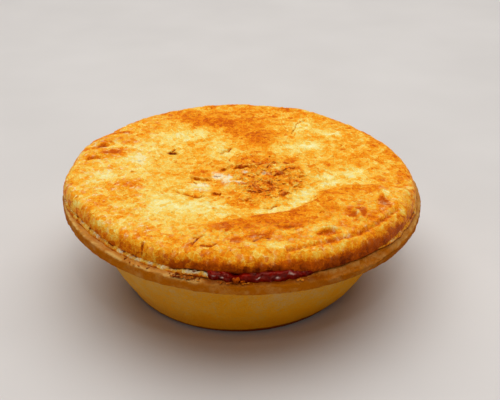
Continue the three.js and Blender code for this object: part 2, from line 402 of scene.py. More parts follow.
def makeLidFinish():
    material, tree, place = newFinish("bakedPuffPastry")
    parts = {name: noiseOf(tree, place, *noise) for name, noise in lidFinish["noises"].items()}
    parts["flakes"], rims, cracks = flakesOf(tree, place, *lidFinish["flakes"])
    middling = parts["middling"]
    dark = readValue(tree, "dark")
    bake = addedUp(tree, readValue(tree, "bake"), parts, lidFinish["browning"])
    # painted highlight: the flake rims are paler
    bake = sumOf(tree, bake, rims, lidFinish["rims"], -0.3)
    bake = sumOf(tree, bake, dark, lidFinish["marks"])
    color = rampOf(tree, bake, lidFinish["stops"])
    # flour and painted highlights, stronger at the flake rims
    flourAndHighlightShare = productOf(tree, readValue(tree, "flourAndHighlight"), sumOf(tree, middling, rims, 0.9, 0.2))
    color = blendOf(tree, flourAndHighlightShare, color, rampOf(tree, flourAndHighlightShare, lidFinish["flourAndHighlight"]))
    # dark marks, partly baked colour and partly painted shade, and thin cracks of painted shade where the
    # pastry is flaky, both broken up by the noises
    uneven = sumOf(tree, parts["flakes"], middling, 2.4, -0.25)
    color = blendOf(tree, productOf(tree, dark, uneven), color, lidFinish["dark"])
    parted = sumOf(tree, parts["coarse"], middling, 2.6, -0.54)
    torn = productOf(tree, cracks, productOf(tree, readValue(tree, "flaky"), parted))
    color = blendOf(tree, torn, color, lidFinish["dark"])
    grit = sumOf(tree, middling, parts["fine"], 0.6)
    coverWith(tree, color, lidFinish, sumOf(tree, grit, rims, 0.25))
    return material


caseFinish = {
    "side": [
        (0.00, (222, 138, 4)),
        (0.35, (222, 147, 20)),
        (0.62, (216, 153, 54)),
        (1.00, (212, 162, 92)),
    ],
    "toast": (182, 98, 3),
    "flourAndHighlight": (242, 200, 116),
    "streaks": (3.4, 3.0, 0.55),
    "upright": 0.16,  # draws the streaks out upwards
    "noises": {
        "cloud": (9.0, 3.0, 0.55, 0.6),
        "speckle": (1.6, 3.0, 0.6, 1.0),
        "fine": (0.6, 3.0, 0.65),
    },
    "colouring": {"streaks": 0.6, "cloud": 1.2, "speckle": 0.9, "fine": 1.4},
    "toasting": {"fine": 0.5, "speckle": 0.7},
    "roughness": 0.7,
    "gloss": 0.03,
    "sheen": (255, 190, 90),
    "bump": (0.9, 0.6),
}


def makeCaseFinish():
    material, tree, place = newFinish("bakedShortcrust")
    split = addNode(tree, "ShaderNodeSeparateXYZ")
    tree.links.new(place, split.inputs[0])
    rise = addNode(tree, "ShaderNodeMapRange")
    tree.links.new(split.outputs["Z"], rise.inputs["Value"])
    rise.inputs["From Max"].default_value = pie["rimTop"] * mm
    stretch = addNode(tree, "ShaderNodeMapping")
    stretch.inputs["Scale"].default_value = (1.0, 1.0, caseFinish["upright"])
    tree.links.new(place, stretch.inputs["Vector"])
    parts = {name: noiseOf(tree, place, *noise) for name, noise in caseFinish["noises"].items()}
    parts["streaks"] = noiseOf(tree, stretch.outputs["Vector"], *caseFinish["streaks"])
    value = addedUp(tree, rise.outputs["Result"], parts, caseFinish["colouring"])
    color = rampOf(tree, value, caseFinish["side"])
    toast = addedUp(tree, readValue(tree, "toast"), parts, caseFinish["toasting"])
    color = blendOf(tree, toast, color, caseFinish["toast"])
    color = blendOf(tree, readValue(tree, "flourAndHighlight"), color, caseFinish["flourAndHighlight"])
    # dark on the case: painted shade at the foot and in the pits, shade on the falling rim, and the gravy's
    # wet stain
    color = blendOf(tree, readValue(tree, "dark"), color, lidFinish["dark"])
    coverWith(tree, color, caseFinish, sumOf(tree, parts["fine"], parts["speckle"]))
    return material


gravyFinish = {
    "stops": [(0.30, (66, 1, 0)), (0.52, (114, 5, 0)), (0.75, (150, 22, 1))],
    # the colour of the painted highlights on the gravy
    "glint": (255, 222, 204),
    "cloud": (1.8, 3.0, 0.6),
    "roughness": 0.09,
    "gloss": 0.25,
    "sheen": (255, 170, 140),
    "bump": (0.8, 1.0),
}


def makeGravyFinish():
    material, tree, place = newFinish("beefGravy")
    cloud = noiseOf(tree, place, *gravyFinish["cloud"])
    color = rampOf(tree, cloud, gravyFinish["stops"])
    # painted highlight: small pale glints are mixed into the gravy's colour
    color = blendOf(tree, readValue(tree, "wetAndPaintedGlint"), color, gravyFinish["glint"])
    coverWith(tree, color, gravyFinish, cloud)
    return material


lidPastry = makeLidFinish()
casePastry = makeCaseFinish()
gravy = makeGravyFinish()
print("finishes made")


# lid shape: the same forms as the solid, with finer relief on top

# where gravy has come out, as bearings: the filling's rise, its run over the rim, and the lid's lifted edge
leak = {
    "height": 1.2,
    "rise": (-14.0, 24.0),
    "run": (-8.5, 20.5),
    "lid": (-15.0, 9.0),
    "lidFade": (6.0, 11.0),
}


def leaking(angle, stretch, before, after):
    start, end = leak[stretch]
    return between(turnBetween(angle, 0.0), start - before, start, end, end + after)


def lidLift(angle):
    return leaking(angle, "lid", *leak["lidFade"])


lid = {
    "radius": 57.4,
    "shift": 1.4,
    "thickness": 5.2,
    "edge": 0.8,
    "shoulder": 5.6,
    "fullness": 0.6,
    "sag": 0.5,
    "uneven": 0.35,
    "soft": 1.18,  # how soon the risen places fade
    "blisters": 0.2,
    "folds": 0.16,
    "wrinkles": 0.2,
    "grit": 0.1,
    "pleats": 0.09,
    "sideRough": 0.2,
    "cells": 304,
    "underReach": 4.0,
    # the line behind which the raised front of the lid starts
    "fold": [
        (-26, -42), (-16.5, -39), (-7.7, -37.4), (-3.3, -35.8), (1.2, -33.6), (6.4, -31.8),
        (10.4, -30.6), (15, -28.2), (18.3, -25.8), (20.2, -24.4), (22.3, -22.4), (23.7, -19.6),
        (25.3, -16.2), (28.8, -13.4), (35.2, -10.6), (45, -10.6), (52, -13),
    ],
    "foldRise": 1.4,
    "foldWidth": 3.6,
    "foldFrom": (-24.0, -6.0),
    # risen and sunken places: where, half lengths, turn, rise
    "swellings": [
        ((-2, 37), 17, 7, -8, 1.1),
        ((9, 24), 10, 6, -30, 0.8),
        ((30, 26), 14, 9, 30, 0.6),
        ((-37, -13), 7, 5, 0, 0.7),
        ((-49, 16), 6, 3, 25, 0.9),
        ((-51, 6), 5, 2.6, 15, 0.8),
        ((-45, 31), 6, 3, 55, 0.8),
        ((44, -20), 5.5, 3, 65, 0.9),
        ((37, -32), 5.5, 3, 75, 0.9),
        ((27, -41), 7, 3, 12, 0.8),
        ((-21, 4), 17, 13, 20, -0.6),
        ((-7, -12), 10, 5, -20, -0.9),
    ],
    # stretches of edge that have spread or risen: bearing, half length, out, up
    "heaves": [
        (-78, 13, 2.8, 0.1),
        (-105, 15, 1.9, 0.2),
        (-121, 7, -1.3, -0.2),
        (156, 11, 0.3, 0.9),
        (185, 22, 0.0, 0.4),
    ],
    "heaveFrom": 44.0,
    # bearings between which a thin seam of painted shade shows below the edge: from, full, fading, to
    "seams": [(-86.0, -78.0, -12.0, -7.0), (20.0, 26.0, 72.0, 80.0)],
    # how much more or less the side is darkened, partly baked colour and partly painted shade: share,
    # bearing, half length
    "sideShades": [(-0.35, -70.0, 45.0), (-0.4, 76.0, 24.0), (0.85, 2.0, 24.0), (0.5, 36.0, 22.0)],
}
lidUnder = pie["rimTop"] + pie["gap"]
lidCrown = lidUnder + lid["thickness"]
lidShoulder = lid["radius"] - lid["shoulder"]


def pastFold(x, y):
    # how far in front of the fold a place lies, less than zero behind it
    line = np.interp(x, [p[0] for p in lid["fold"]], [p[1] for p in lid["fold"]])
    away, _ = lineAway(x, y, lid["fold"])
    return np.where(y < line, away, -away)


def lidRelief(x, y):
    # the broad rises and dips of the upper face
    inFront = smooth(pastFold(x, y), -lid["foldWidth"] / 2, lid["foldWidth"] / 2)
    rise = lid["foldRise"] * inFront * smooth(x, *lid["foldFrom"])
    for at, along, across, turn, up in lid["swellings"]:
        rise = rise + up * spotShare(x, y, at, along / lid["soft"], across / lid["soft"], turn)
    r = np.hypot(x - lid["shift"], y)
    inner = 1.0 - smooth(r, lidShoulder, lid["radius"])
    rise = rise + lid["uneven"] * grain(flat3(x, y), 13.0, 5)
    return inner * rise - lid["sag"] * (1.0 - (r / lid["radius"]) ** 2)


def lidHeave(angle, r):
    edge = smooth(r, lid["heaveFrom"], lid["radius"])
    out = sum(spread * stretchShare(angle, middle, half) for middle, half, spread, _ in lid["heaves"])
    up = sum(rise * stretchShare(angle, middle, half) for middle, half, _, rise in lid["heaves"])
    return edge * out, edge * up


# browned and pale places of the lid: where, half lengths, turn, more or less browning
lidSpots = [
    ((-34.6, 5), 5, 4.5, 0, -0.26),
    ((-30, 18), 10, 7, 20, -0.16),
    ((-20, 26), 10, 5, 5, -0.22),
    ((-46, -8), 6, 3.5, 10, -0.24),
    ((-20, -26), 11, 8, -15, -0.24),
    ((-24, -34), 7, 5, 0, -0.10),
    ((-11, -26), 6, 5, 0, -0.16),
    ((-13, -13), 4, 2.4, 0, -0.36),
    ((-4, -31), 6, 2, 25, -0.16),
    ((37, -1), 9, 4, 10, -0.24),
    ((29, -7), 7, 3.6, 15, -0.22),
    ((22.5, 36), 8, 4, 60, -0.30),
    ((31, 30), 7, 4, 0, -0.14),
    ((24.5, 18), 9, 3.4, 10, -0.26),
    ((12, 46), 6, 3, 0, -0.16),
    ((8, -50), 7, 2.6, 0, -0.08),
    ((-7, 16), 4, 8, 0, -0.18),
    ((19, -19), 7, 2.6, 45, -0.22),
    ((7, -28), 5, 1.6, 15, -0.16),
    ((46, -18), 1.6, 2.6, 0, -0.30),
    ((-36.5, -14), 5.5, 4.6, 0, 0.32),
    ((-44.4, 9.4), 5.6, 3.0, 30, 0.40),
    ((-39.5, 20), 3.4, 4, 0, 0.24),
    ((-33, 30), 6, 4, 30, 0.12),
    ((-10, 36), 13, 3.8, -4, 0.34),
    ((1.5, 36), 5, 4.4, 0, 0.24),
    ((4, 28.6), 11, 2.8, 4, 0.36),
    ((0, 32), 9, 4, 0, 0.16),
    ((6.5, 21.4), 6, 4, -35, 0.32),
    ((12, 27), 7, 5, 20, 0.16),
    ((-20, 42), 7, 3, 0, 0.18),
    ((1.6, 6.5), 6, 5.4, 0, 0.16),
    ((7.5, 5), 3.4, 5, 10, 0.18),
    ((-13.7, -4), 2.8, 3.8, 0, 0.22),
    ((11, -12), 12, 12, 0, 0.08),
    ((8.6, -9), 3, 2.6, 0, 0.06),
    ((19.4, -8.7), 2.4, 2.4, 0, 0.1),
    ((1.4, -20), 3, 3, 0, 0.14),
    ((3.4, -24.3), 2.6, 2, 0, 0.2),
    ((12.7, -3.6), 2.6, 1.4, 0, 0.12),
    ((5, -15.6), 4, 2, 0, 0.06),
    ((17, 8), 3, 2, 20, 0.22),
    ((20, 2), 5, 3, 10, 0.16),
    ((-2, -41), 5, 3.6, 0, 0.2),
    ((6.4, -42.4), 5, 3.2, 0, 0.28),
    ((5, -36.4), 8, 3.0, 18, 0.2),
    ((-0.5, -48), 2.4, 2.6, 0, 0.34),
    ((2.9, -46), 2.2, 2.4, 0, 0.28),
    ((12, -38), 5, 2, 0, 0.22),
    ((15.2, -38.2), 2.6, 1.5, 0, 0.34),
    ((17, -30.6), 3.6, 2.0, 25, 0.30),
    ((-8, -39.4), 7, 2.4, -4, 0.1),
    ((31, -24), 14, 10, 0, 0.07),
    ((21, -34), 8, 5, 0, 0.18),
    ((44.5, -24), 2.2, 4, -20, 0.26),
    ((31, -36.4), 2, 2.4, 0, 0.28),
    ((42, -30), 4.4, 1.7, 60, 0.20),
    ((33, 17), 5, 5, 0, 0.16),
    ((29, 5), 4, 3, 0, 0.20),
    ((49, -8), 4, 2.5, 0, 0.16),
    ((-49.4, 12.2), 3.2, 0.8, 20, 0.36),
    ((-48.6, 15.0), 2.6, 0.8, 20, 0.32),
    ((-49.6, 3.8), 3.0, 0.8, 14, 0.38),
    ((-44, 25.4), 3.0, 1.0, 20, 0.42),
    ((-46, 33), 2.8, 1.4, 50, 0.30),
    ((-24.5, 46), 3.0, 1.0, 60, 0.24),
    ((12, 44.6), 2.6, 0.9, 20, 0.26),
    ((-8, 45.5), 2.8, 0.9, -20, 0.28),
    ((-38, -4), 18, 24, 0, -0.1),
    ((0, 42), 26, 9, 0, 0.17),
    ((46, 4), 10, 22, 0, 0.07),
    ((10, -8), 13, 13, 0, 0.03),
    ((6, -51), 12, 3, 0, -0.04),
    ((18, -47), 6, 2.4, 20, -0.08),
    ((-1, -45), 4, 2, 30, -0.12),
    ((9, -41), 5, 1.6, 10, -0.16),
    ((24, -37), 6, 2, 10, -0.14),
    ((30, -46.6), 2.4, 0.8, 30, -0.3),
    ((25.3, -48.9), 1.6, 0.7, 20, -0.3),
    ((47, -29.4), 1.4, 0.8, 50, -0.3),
    ((51, -26), 1.4, 0.8, 60, -0.3),
]

# pinched places with sharper edges
lidPinches = [
    ((33.6, -30.4), 1.6, 2.9, 14, 0.38),
    ((37.5, -30.0), 1.5, 2.9, -10, 0.38),
    ((35.6, -31.4), 0.7, 4.4, 8, -0.18),
    ((25.9, -43.0), 3.8, 1.2, 8, 0.34),
    ((26.2, -41.0), 3.8, 0.7, 12, -0.24),
    ((44.6, -22.4), 1.3, 3.0, -20, 0.3),
    ((46.2, -18.4), 1.0, 2.6, -5, -0.26),
    ((5.6, -45.6), 3.2, 1.1, 8, 0.3),
    ((-0.5, -48.2), 1.5, 2.0, 0, 0.28),
    ((12.6, -39.6), 2.6, 0.9, -8, 0.3),
    ((-44.4, 9.2), 3.8, 1.5, 30, 0.26),
    ((-43.6, 24.8), 2.6, 1.0, 25, 0.26),
]

# drawn marks: cracks and slits, with half width, depth and darkness, the darkness partly their own colour
# and partly painted shade in them
lidMarks = [
    ([(-24.8, 11.4), (-23.4, 11.3)], 0.85, 0.7, 1.1),
    ([(-23.9, 12.0), (-23.5, 14.0)], 0.3, 0.5, 0.7),
    ([(-25.8, 11.2), (-22.5, 10.8)], 0.35, 0.5, 0.7),
    ([(-7.0, 12.4), (-6.0, 14.3), (-4.6, 14.4), (-3.8, 16.8)], 0.42, 0.8, 0.5),
    ([(18.7, 29.1), (19.5, 32.7), (20.4, 36.5), (21.3, 38.5), (23.8, 41)], 0.2, 0.4, 0.5),
    ([(7.4, -26.3), (9.3, -26.8), (9.9, -25.5), (11.2, -24.9)], 0.3, 0.6, 0.55),
    ([(13.4, -38.8), (14.7, -39.3), (15.8, -39.3)], 0.4, 0.6, 0.5),
    ([(-13.0, -49.9), (-12.2, -48.0), (-11.4, -46.4), (-10.0, -45.2)], 0.38, 0.7, 0.55),
    ([(-13.2, -46.9), (-12.2, -45.9)], 0.35, 0.5, 0.5),
    ([(-10.8, -51.2), (-9.2, -51.5), (-7.8, -51.4), (-6.6, -50.4)], 0.32, 0.6, 0.5),
    ([(4.3, -48.2), (5.4, -47.1), (7.2, -46.5), (8.8, -46.7)], 0.32, 0.6, 0.5),
    ([(24.2, -30.6), (24.8, -29.6), (25.6, -30.2)], 0.3, 0.5, 0.5),
    ([(-15, -9.8), (-14.2, -11.2)], 0.28, 0.4, 0.5),
    ([(-34.8, 3.8), (-34.3, 4.0)], 0.4, 0.5, 0.5),
    ([(48.6, -26.2), (45.4, -30.9), (39.8, -37.3), (35.5, -41.1), (31.6, -43.6), (27, -45.9),
      (22.5, -47.9), (18.1, -50.2), (13.8, -51.8)], 0.6, 0.8, 0.22),
    ([(-27.7, -47.2), (-27.9, -49.0), (-28.1, -50.6)], 0.35, 0.7, 0.9),
    ([(33.4, -28.6), (33.9, -30.6), (34.6, -32.6)], 1.2, 0.5, 0.12),
    ([(36.4, -27.6), (37.3, -30.0), (37.4, -32.4)], 1.1, 0.5, 0.12),
    ([(23.2, -43.0), (26, -42.7), (28.6, -41.8)], 0.9, 0.4, 0.1),
    ([(44.6, -21.6), (44.8, -24.4)], 0.8, 0.4, 0.1),
    ([(-20.1, -16.8), (-17.5, -18.6), (-12.9, -20), (-11.8, -19.2)], 0.5, 0.5, 0.35),
    ([(-52.4, 2.6), (-50.4, 3.7), (-48.4, 4.2)], 0.4, 0.6, 0.12),
    ([(-51.6, 11), (-49.8, 12.3), (-47.6, 13)], 0.4, 0.6, 0.12),
]
# small gaps between the flakes, darkened with painted shade: where, half length, turn
lidGaps = [
    (6.3, -9, 0.7, 30), (9.4, -9.5, 0.8, 70), (11.4, -12.2, 1.2, 20), (2.9, -14.3, 1.0, -5),
    (5.2, -15.4, 1.5, 10), (7.5, -13.7, 0.9, 0), (10, -14.3, 1.0, 15), (13.1, -2.6, 1.3, 20),
    (14.7, 0.2, 0.8, 40), (17.7, 1.8, 1.2, 5), (12.1, -3.7, 0.8, 10), (6.8, -15.9, 0.8, 0),
    (11, 5.3, 0.9, 50), (10.1, 9.9, 0.5, 60), (9.5, 1.4, 0.9, 50), (7.4, -0.9, 0.6, -30),
    (3.5, 11.9, 0.7, 80), (16.4, -5.4, 0.6, 40), (14.2, -9.4, 0.7, -20), (13, -16.4, 0.9, 25),
    (8.8, -18, 0.8, 5), (4.2, -18.4, 0.7, 35), (17.2, -13, 0.6, 60), (1.4, -17.2, 0.7, -15),
    (20.2, -4.8, 0.7, 30),
]
# the darkness of the gaps is painted shade
gapMark = (0.14, 0.4, 0.7)  # half width, depth and darkness
for x, y, half, turn in lidGaps:
    dx, dy = half * math.cos(math.radians(turn)), half * math.sin(math.radians(turn))
    lidMarks.append(([(x - dx, y - dy), (x + dx, y + dy)], *gapMark))

# raised creases, with half width and height
lidCreases = [
    ([(-11, -21), (-8.6, -27), (-6.4, -31), (-2, -31.6)], 0.7, 0.5),
    ([(25.6, 3), (25.9, -5), (26.2, -11)], 0.6, 0.5),
    ([(28.4, 5), (28.2, -4), (27.4, -12)], 0.6, 0.6),
    ([(35.4, -28), (35.8, -32), (36.4, -36.4)], 0.8, 0.9),
    ([(23.2, -41.6), (26, -41.2), (28.8, -40.4)], 0.8, 0.9),
    ([(45.6, -15), (45.2, -19), (44.2, -25)], 0.7, 0.7),
    ([(-51.6, 6.4), (-49, 6.6), (-46.4, 6.2)], 0.8, 0.6),
    ([(-51.4, 14.2), (-48.6, 13.8), (-45.8, 14.4)], 0.7, 0.6),
    ([(-48.6, 18), (-46, 17.6), (-43.6, 18.4)], 0.8, 0.5),
]

# the flaky heap in the middle, and more flaky places: where, half lengths, turn, share
heap = {"at": (10.0, -8.5), "along": 13.5, "across": 16.5, "turn": 0.0}
flakyPlaces = [((6, -44), 24, 7, 6, 0.7), ((34, -30), 12, 9, 30, 0.5), ((-46, 14), 5, 14, -12, 0.4)]


def heapShare(x, y):
    return spotShare(x, y, heap["at"], heap["along"], heap["across"], heap["turn"], 1.8)


def flakyShare(x, y):
    share = heapShare(x, y)
    for at, along, across, turn, more in flakyPlaces:
        share = np.maximum(share, more * spotShare(x, y, at, along, across, turn, 1.6))
    return share


def warped(x, y, share=1.0):
    p = flat3(x, y)
    return (x + share * (1.2 * grain(p, 5.0, 21) + 0.5 * grain(p, 1.7, 22)),
            y + share * (1.2 * grain(p, 5.0, 23) + 0.5 * grain(p, 1.7, 24)))


def lidWrinkles(x, y):
    # thin raised wrinkles, in patches
    wx, wy = warped(x, y)
    p = flat3(wx, wy)
    long = np.clip(1.0 - 3.2 * np.abs(layered(p, 6.5, 2, 0.5, 141)), 0.0, 1.0) ** 2
    short = np.clip(1.0 - 2.6 * np.abs(layered(p, 2.8, 2, 0.5, 145)), 0.0, 1.0) ** 2
    patches = smooth(layered(p, 9.0, 2, 0.5, 149), -0.35, 0.35)
    return np.maximum(long * patches, 0.8 * short * (0.35 + 0.65 * patches))


def lidFine(x, y):
    # fine relief of the upper face: blisters, wrinkles, marks and creases
    p = flat3(x, y)
    rise = lid["blisters"] * layered(p, 3.4, 3, 0.55, 31) + lid["grit"] * grain(p, 1.1, 37)
    rise = rise + lid["wrinkles"] * lidWrinkles(x, y) + lid["folds"] * np.abs(grain(p, 6.0, 39))
    wx, wy = warped(x, y, 0.3)
    for points, width, depth, _ in lidMarks:
        d, _ = lineAway(wx, wy, points)
        rise = rise - depth * hump(d, 0.0, width)
    for points, width, height in lidCreases:
        d, t = lineAway(wx, wy, points)
        taper = np.clip(4.0 * t * (1.0 - t) + 0.25, 0.0, 1.0)
        rise = rise + height * taper * hump(d, 0.0, width)
    return rise


# how the lid browns, from what it starts with
browning = {
    "start": 0.47,
    "least": 0.06,
    "soften": (0.68, 0.2),  # above the first it browns ever less
    "foldSpan": (-18.0, -6.0, 45.0, 51.0),
    "foldFront": (0.03, 0.24, 3.2),  # in front of the fold: all over, along it, and how far that reaches
    "foldHighlight": 0.18,
    "mottle": (0.12, 0.05),  # all over, and more at the edge
    "clouds": 0.08,
    "wrinkles": 0.15,
    "edge": 0.12,
    "side": 0.2,
    "caramel": 0.26,
    # bearings of the paler left, the browner front right and the paler far right
    "left": (-130.0, -100.0, -40.0, -14.0),
    "right": 38.0,
    "farRight": (76.0, 22.0),
}


def lidBake(x, y, side):
    # how brown the pastry is, 0 to 1; side is 0 on top and 1 on the edge
    b = browning
    p = flat3(x, y, side * 6.0)
    wx, wy = warped(x, y)
    r = np.hypot(x - lid["shift"], y)
    angle = bearing(x - lid["shift"], y)
    bake = np.full(len(x), b["start"])
    for at, along, across, turn, more in lidSpots:
        bake = bake + more * spotShare(wx, wy, at, along, across, turn, 1.5)
    # in front of the fold the lid is browner, most of all along the fold, and just behind it paler, a
    # painted highlight
    past = pastFold(wx, wy) + 1.1 * layered(p, 4.0, 3, 0.6, 61)
    span = between(wx, *b["foldSpan"])
    soft = mixed(2.6, 1.1, smooth(wx, 0.0, 14.0))
    allOver, alongFold, reach = b["foldFront"]
    browner = allOver + alongFold * np.exp(-np.clip(past, 0.0, None) / reach)
    bake = bake + span * smooth(past / soft, -1.0, 1.0) * browner
    bake = bake - b["foldHighlight"] * span * hump(past, -2.4, 2.0) * smooth(wx, 0.0, 10.0)
    # mottling, clouds and paler wrinkles, their paleness a painted highlight on the ridges
    edge = smooth(r, 44.0, 56.0)
    mottle = layered(p, 3.8, 3, 0.6, 51)
    everywhere, atEdge = b["mottle"]
    bake = bake + (everywhere + atEdge * edge) * mottle - b["wrinkles"] * lidWrinkles(x, y) + 0.05
    bake = bake + b["clouds"] * layered(p, 12.0, 2, 0.5, 57)
    limit, room = b["soften"]
    over = np.clip(bake - limit, 0.0, None)
    bake = np.clip(bake - over + room * (1.0 - np.exp(-over / room)), b["least"], None)
    nx, ny = warped(x, y, 0.4)
    for at, along, across, turn, more in lidPinches:
        bake = bake + more * spotShare(nx, ny, at, along, across, turn, 3.0)
    # the edge and the side, paler at the left and caramel at the front right
    streak = layered(flat3(angle, 0.08 * r), 1.6, 3, 0.6, 59)
    atLeft = between(angle, *b["left"])
    atRight = stretchShare(angle, b["right"], 26.0)
    onEdge = (b["edge"] - 0.08 * atLeft + 0.07 * atRight) * edge
    bake = bake + onEdge + side ** 0.7 * (b["side"] - 0.08 * atLeft + 0.1 * streak)
    caramel = stretchShare(angle, b["right"], 20.0) * smooth(side + 0.12 * mottle, 0.06, 0.5)
    bake = bake + b["caramel"] * caramel + 0.08 * side * stretchShare(angle, 0.0, 20.0)
    return bake - 0.2 * side * stretchShare(angle, *b["farRight"])


def lidDark(x, y):
    wx, wy = warped(x, y, 0.3)
    p = flat3(x, y)
    dark = 0.25 * smooth(grain(p, 0.9, 45), 0.62, 0.85)  # small pores
    for points, width, _, shade in lidMarks:
        d, _ = lineAway(wx, wy, points)
        dark = np.maximum(dark, shade * hump(d, 0.0, 0.9 * width))
    return np.clip(dark, 0.0, 1.0)


# floury patches of the lid: where, half lengths, turn, share
lidWhites = [
    ((-7.4, -5), 2.2, 2.8, 10, 0.75),
    ((-4.4, -7.8), 1.5, 3.2, 0, 0.85),
    ((-1.6, -10), 3.2, 0.9, -8, 0.6),
    ((1.4, -2.7), 1.6, 0.9, 0, 0.6),
    ((8.3, -2.9), 1.5, 0.8, 0, 0.5),
    ((-13, -11.8), 3.0, 1.6, 0, 0.65),
    ((-13.2, -15.2), 3.2, 1.0, -10, 0.4),
    ((-34.6, 6), 2.4, 2.8, 0, 0.5),
]


def lidFlourAndHighlight(x, y):
    wx, wy = warped(x, y)
    white = np.zeros(len(x))
    for at, along, across, turn, share in lidWhites:
        white = np.maximum(white, share * spotShare(wx, wy, at, along, across, turn, 1.6))
    r = np.hypot(x - lid["shift"], y)
    p = flat3(x, y)
    # the pale dusting on the shoulder at the front and left is partly floury colour and partly a painted
    # highlight
    ring = smooth(r, 36.0, 46.0) * smooth(-y, -10.0, 20.0)
    ring = ring + 1.3 * smooth(-x, 22.0, 36.0) + 0.2 * heapShare(x, y)
    dusted = 0.27 * np.clip(ring, 0.0, 1.3) * smooth(layered(p, 1.6, 3, 0.6, 47), 0.1, 0.7)
    return np.maximum(white, dusted)


# the flaky crust in the middle of the lid is a finer sheet of its own, and the lid sinks beneath it
crust = {
    "middle": (2.0, -5.5),
    "along": 22.5,
    "across": 19.5,
    "cells": 290,
    "proud": 0.03,
    "dive": 0.25,
    "bed": 0.6,
    "layer": 0.26,
    "layerGrain": 5.5,
    # torn edges: where, half length, the way the edge faces, lift, reach behind it, arch, darkness of the
    # painted shade in front
    "lips": [
        ((-4.7, 0.3), 3.9, -45, 0.9, 4.0, 0.3, 0.55),
        ((1.4, 0.3), 4.8, -97, 1.0, 5.0, -0.9, 0.65),
        ((-13.3, -7.8), 3.9, -100, 0.9, 5.0, 0.5, 0.6),
        ((2.2, -9.4), 3.5, -88, 0.7, 3.0, 0.9, 0.4),
        ((-7.6, -17.2), 2.0, -80, 0.8, 2.2, 0.9, 0.6),
        ((13, -2.9), 2.4, -75, 0.6, 2.4, 0.3, 0.5),
        ((14.8, 0.0), 1.6, -40, 0.5, 2.0, 0.2, 0.5),
        ((18, 1.6), 2.4, -80, 0.4, 2.4, 0.3, 0.4),
        ((9.4, 1.2), 1.8, -30, 0.4, 2.0, 0.2, 0.4),
        ((11, 5.2), 1.7, -50, 0.4, 2.0, 0.2, 0.4),
        ((8.8, -9.8), 2.6, -95, 0.55, 2.4, 0.4, 0.5),
        ((4.2, -15.4), 3.0, -92, 0.6, 2.4, 0.5, 0.5),
        ((9.4, -14.8), 2.2, -85, 0.5, 2.0, 0.4, 0.5),
        ((1.6, -21.8), 2.8, -75, 0.5, 2.4, 0.5, 0.3),
        ((14.6, -17), 2.6, -70, 0.45, 2.2, 0.4, 0.35),
        ((18.8, -10.6), 2.2, -60, 0.5, 2.2, 0.4, 0.35),
        ((20.6, -4.4), 2.6, -65, 0.45, 2.2, 0.3, 0.35),
        ((18.5, 8), 2.6, -80, 0.35, 2.2, 0.3, 0.3),
    ],
    "smallLips": 120,
    "smallSpread": (8.5, 9.5),
    "seed": 33,
}
crustDice = np.random.default_rng(crust["seed"])
for i in range(crust["smallLips"]):
    spot = np.array(heap["at"]) + crustDice.normal(size=2) * np.array(crust["smallSpread"])
    crust["lips"].append((
        tuple(spot), crustDice.uniform(0.5, 1.7), crustDice.normal(-88, 45), crustDice.uniform(0.15, 0.42),
        crustDice.uniform(0.7, 1.8), crustDice.uniform(-0.2, 0.5), crustDice.uniform(0.05, 0.45),
    ))


def crustOut(x, y):
    return np.hypot((x - crust["middle"][0]) / crust["along"], (y - crust["middle"][1]) / crust["across"])


def crustLips(x, y):
    # torn edges that curl up, each with a painted highlight along its pale crest, and painted shade and a
    # dark painted shadow at the foot in front of it
    rise, bake, dark, pale = np.zeros((4, len(x)))
    for i, (at, half, faces, lift, reach, arch, shade) in enumerate(crust["lips"]):
        near = np.flatnonzero(np.hypot(x - at[0], y - at[1]) < half + 2.5 * reach)
        if len(near) == 0:
            continue
        a = math.radians(faces)
        dx, dy = x[near] - at[0], y[near] - at[1]
        u = -dx * math.sin(a) + dy * math.cos(a)
        line = flat3(u, 0.0 * u, float(i) * 3.7)
        jagged = 0.55 * grain(line, 1.5, 81) + 0.25 * grain(line, 0.6, 82)
        v = -(dx * math.cos(a) + dy * math.sin(a)) + arch * (1.0 - (u / half) ** 2) + jagged
        taper = 1.0 - smooth(np.abs(u) / half, 0.55, 1.0)
        inside = smooth(v, -0.05, 0.16) * np.exp(-np.clip(v, 0.0, None) / reach)
        rise[near] += lift * taper * inside
        # painted highlight along the crest, painted shade just in front of the edge and a painted shadow at
        # its foot
        crest = taper * hump(v, 0.45, 0.25)
        haloShade = taper * hump(v, -0.25, 0.45)
        bake[near] += 0.12 * lift * taper * inside - 0.1 * crest + 0.45 * shade * haloShade
        pale[near] = np.maximum(pale[near], crest)
        foot = taper * hump(v, -0.1, 0.17) * smooth(grain(line, 1.9, 85), -0.4, 0.2)
        dark[near] = np.maximum(dark[near], 0.7 * shade * foot)
    return rise, bake, dark, pale


def crustLayers(x, y):
    # layers of thin pastry, stepped where they have torn
    p = flat3(x, y)
    level = 3.4 * layered(p, (crust["layerGrain"], 0.85 * crust["layerGrain"], 5.0), 4, 0.55, 61)
    step = np.floor(level)
    f = level - step
    rise = crust["layer"] * (step + smooth(f, 0.0, 0.22) - 0.25 * f)
    # painted highlight: paler just above each step; painted shadow: a dark line at the foot of each step
    tone = 0.07 * np.sin(step * 2.4 + 0.7) - 0.12 * hump(f, 0.0, 0.2)
    foot = hump(f, 1.0, 0.11) * smooth(grain(p, 2.2, 67), 0.05, 0.45)
    return rise, tone, 0.4 * foot


def crustShape(x, y):
    out = crustOut(x, y)
    inner = 1.0 - smooth(out, 0.84, 0.93)
    share = heapShare(x, y)
    lipRise, lipBake, lipDark, lipHighlight = crustLips(x, y)
    layerRise, layerTone, layerDark = crustLayers(x, y)
    rise = inner * (lipRise + (0.15 + 0.85 * share) * layerRise) + crust["proud"]
    rise = rise - crust["dive"] * smooth(out, 0.94, 1.0)
    bake = inner * (lipBake + share * layerTone)
    dark = inner * np.maximum(lipDark, share * layerDark)
    return rise, bake, dark, inner * lipHighlight


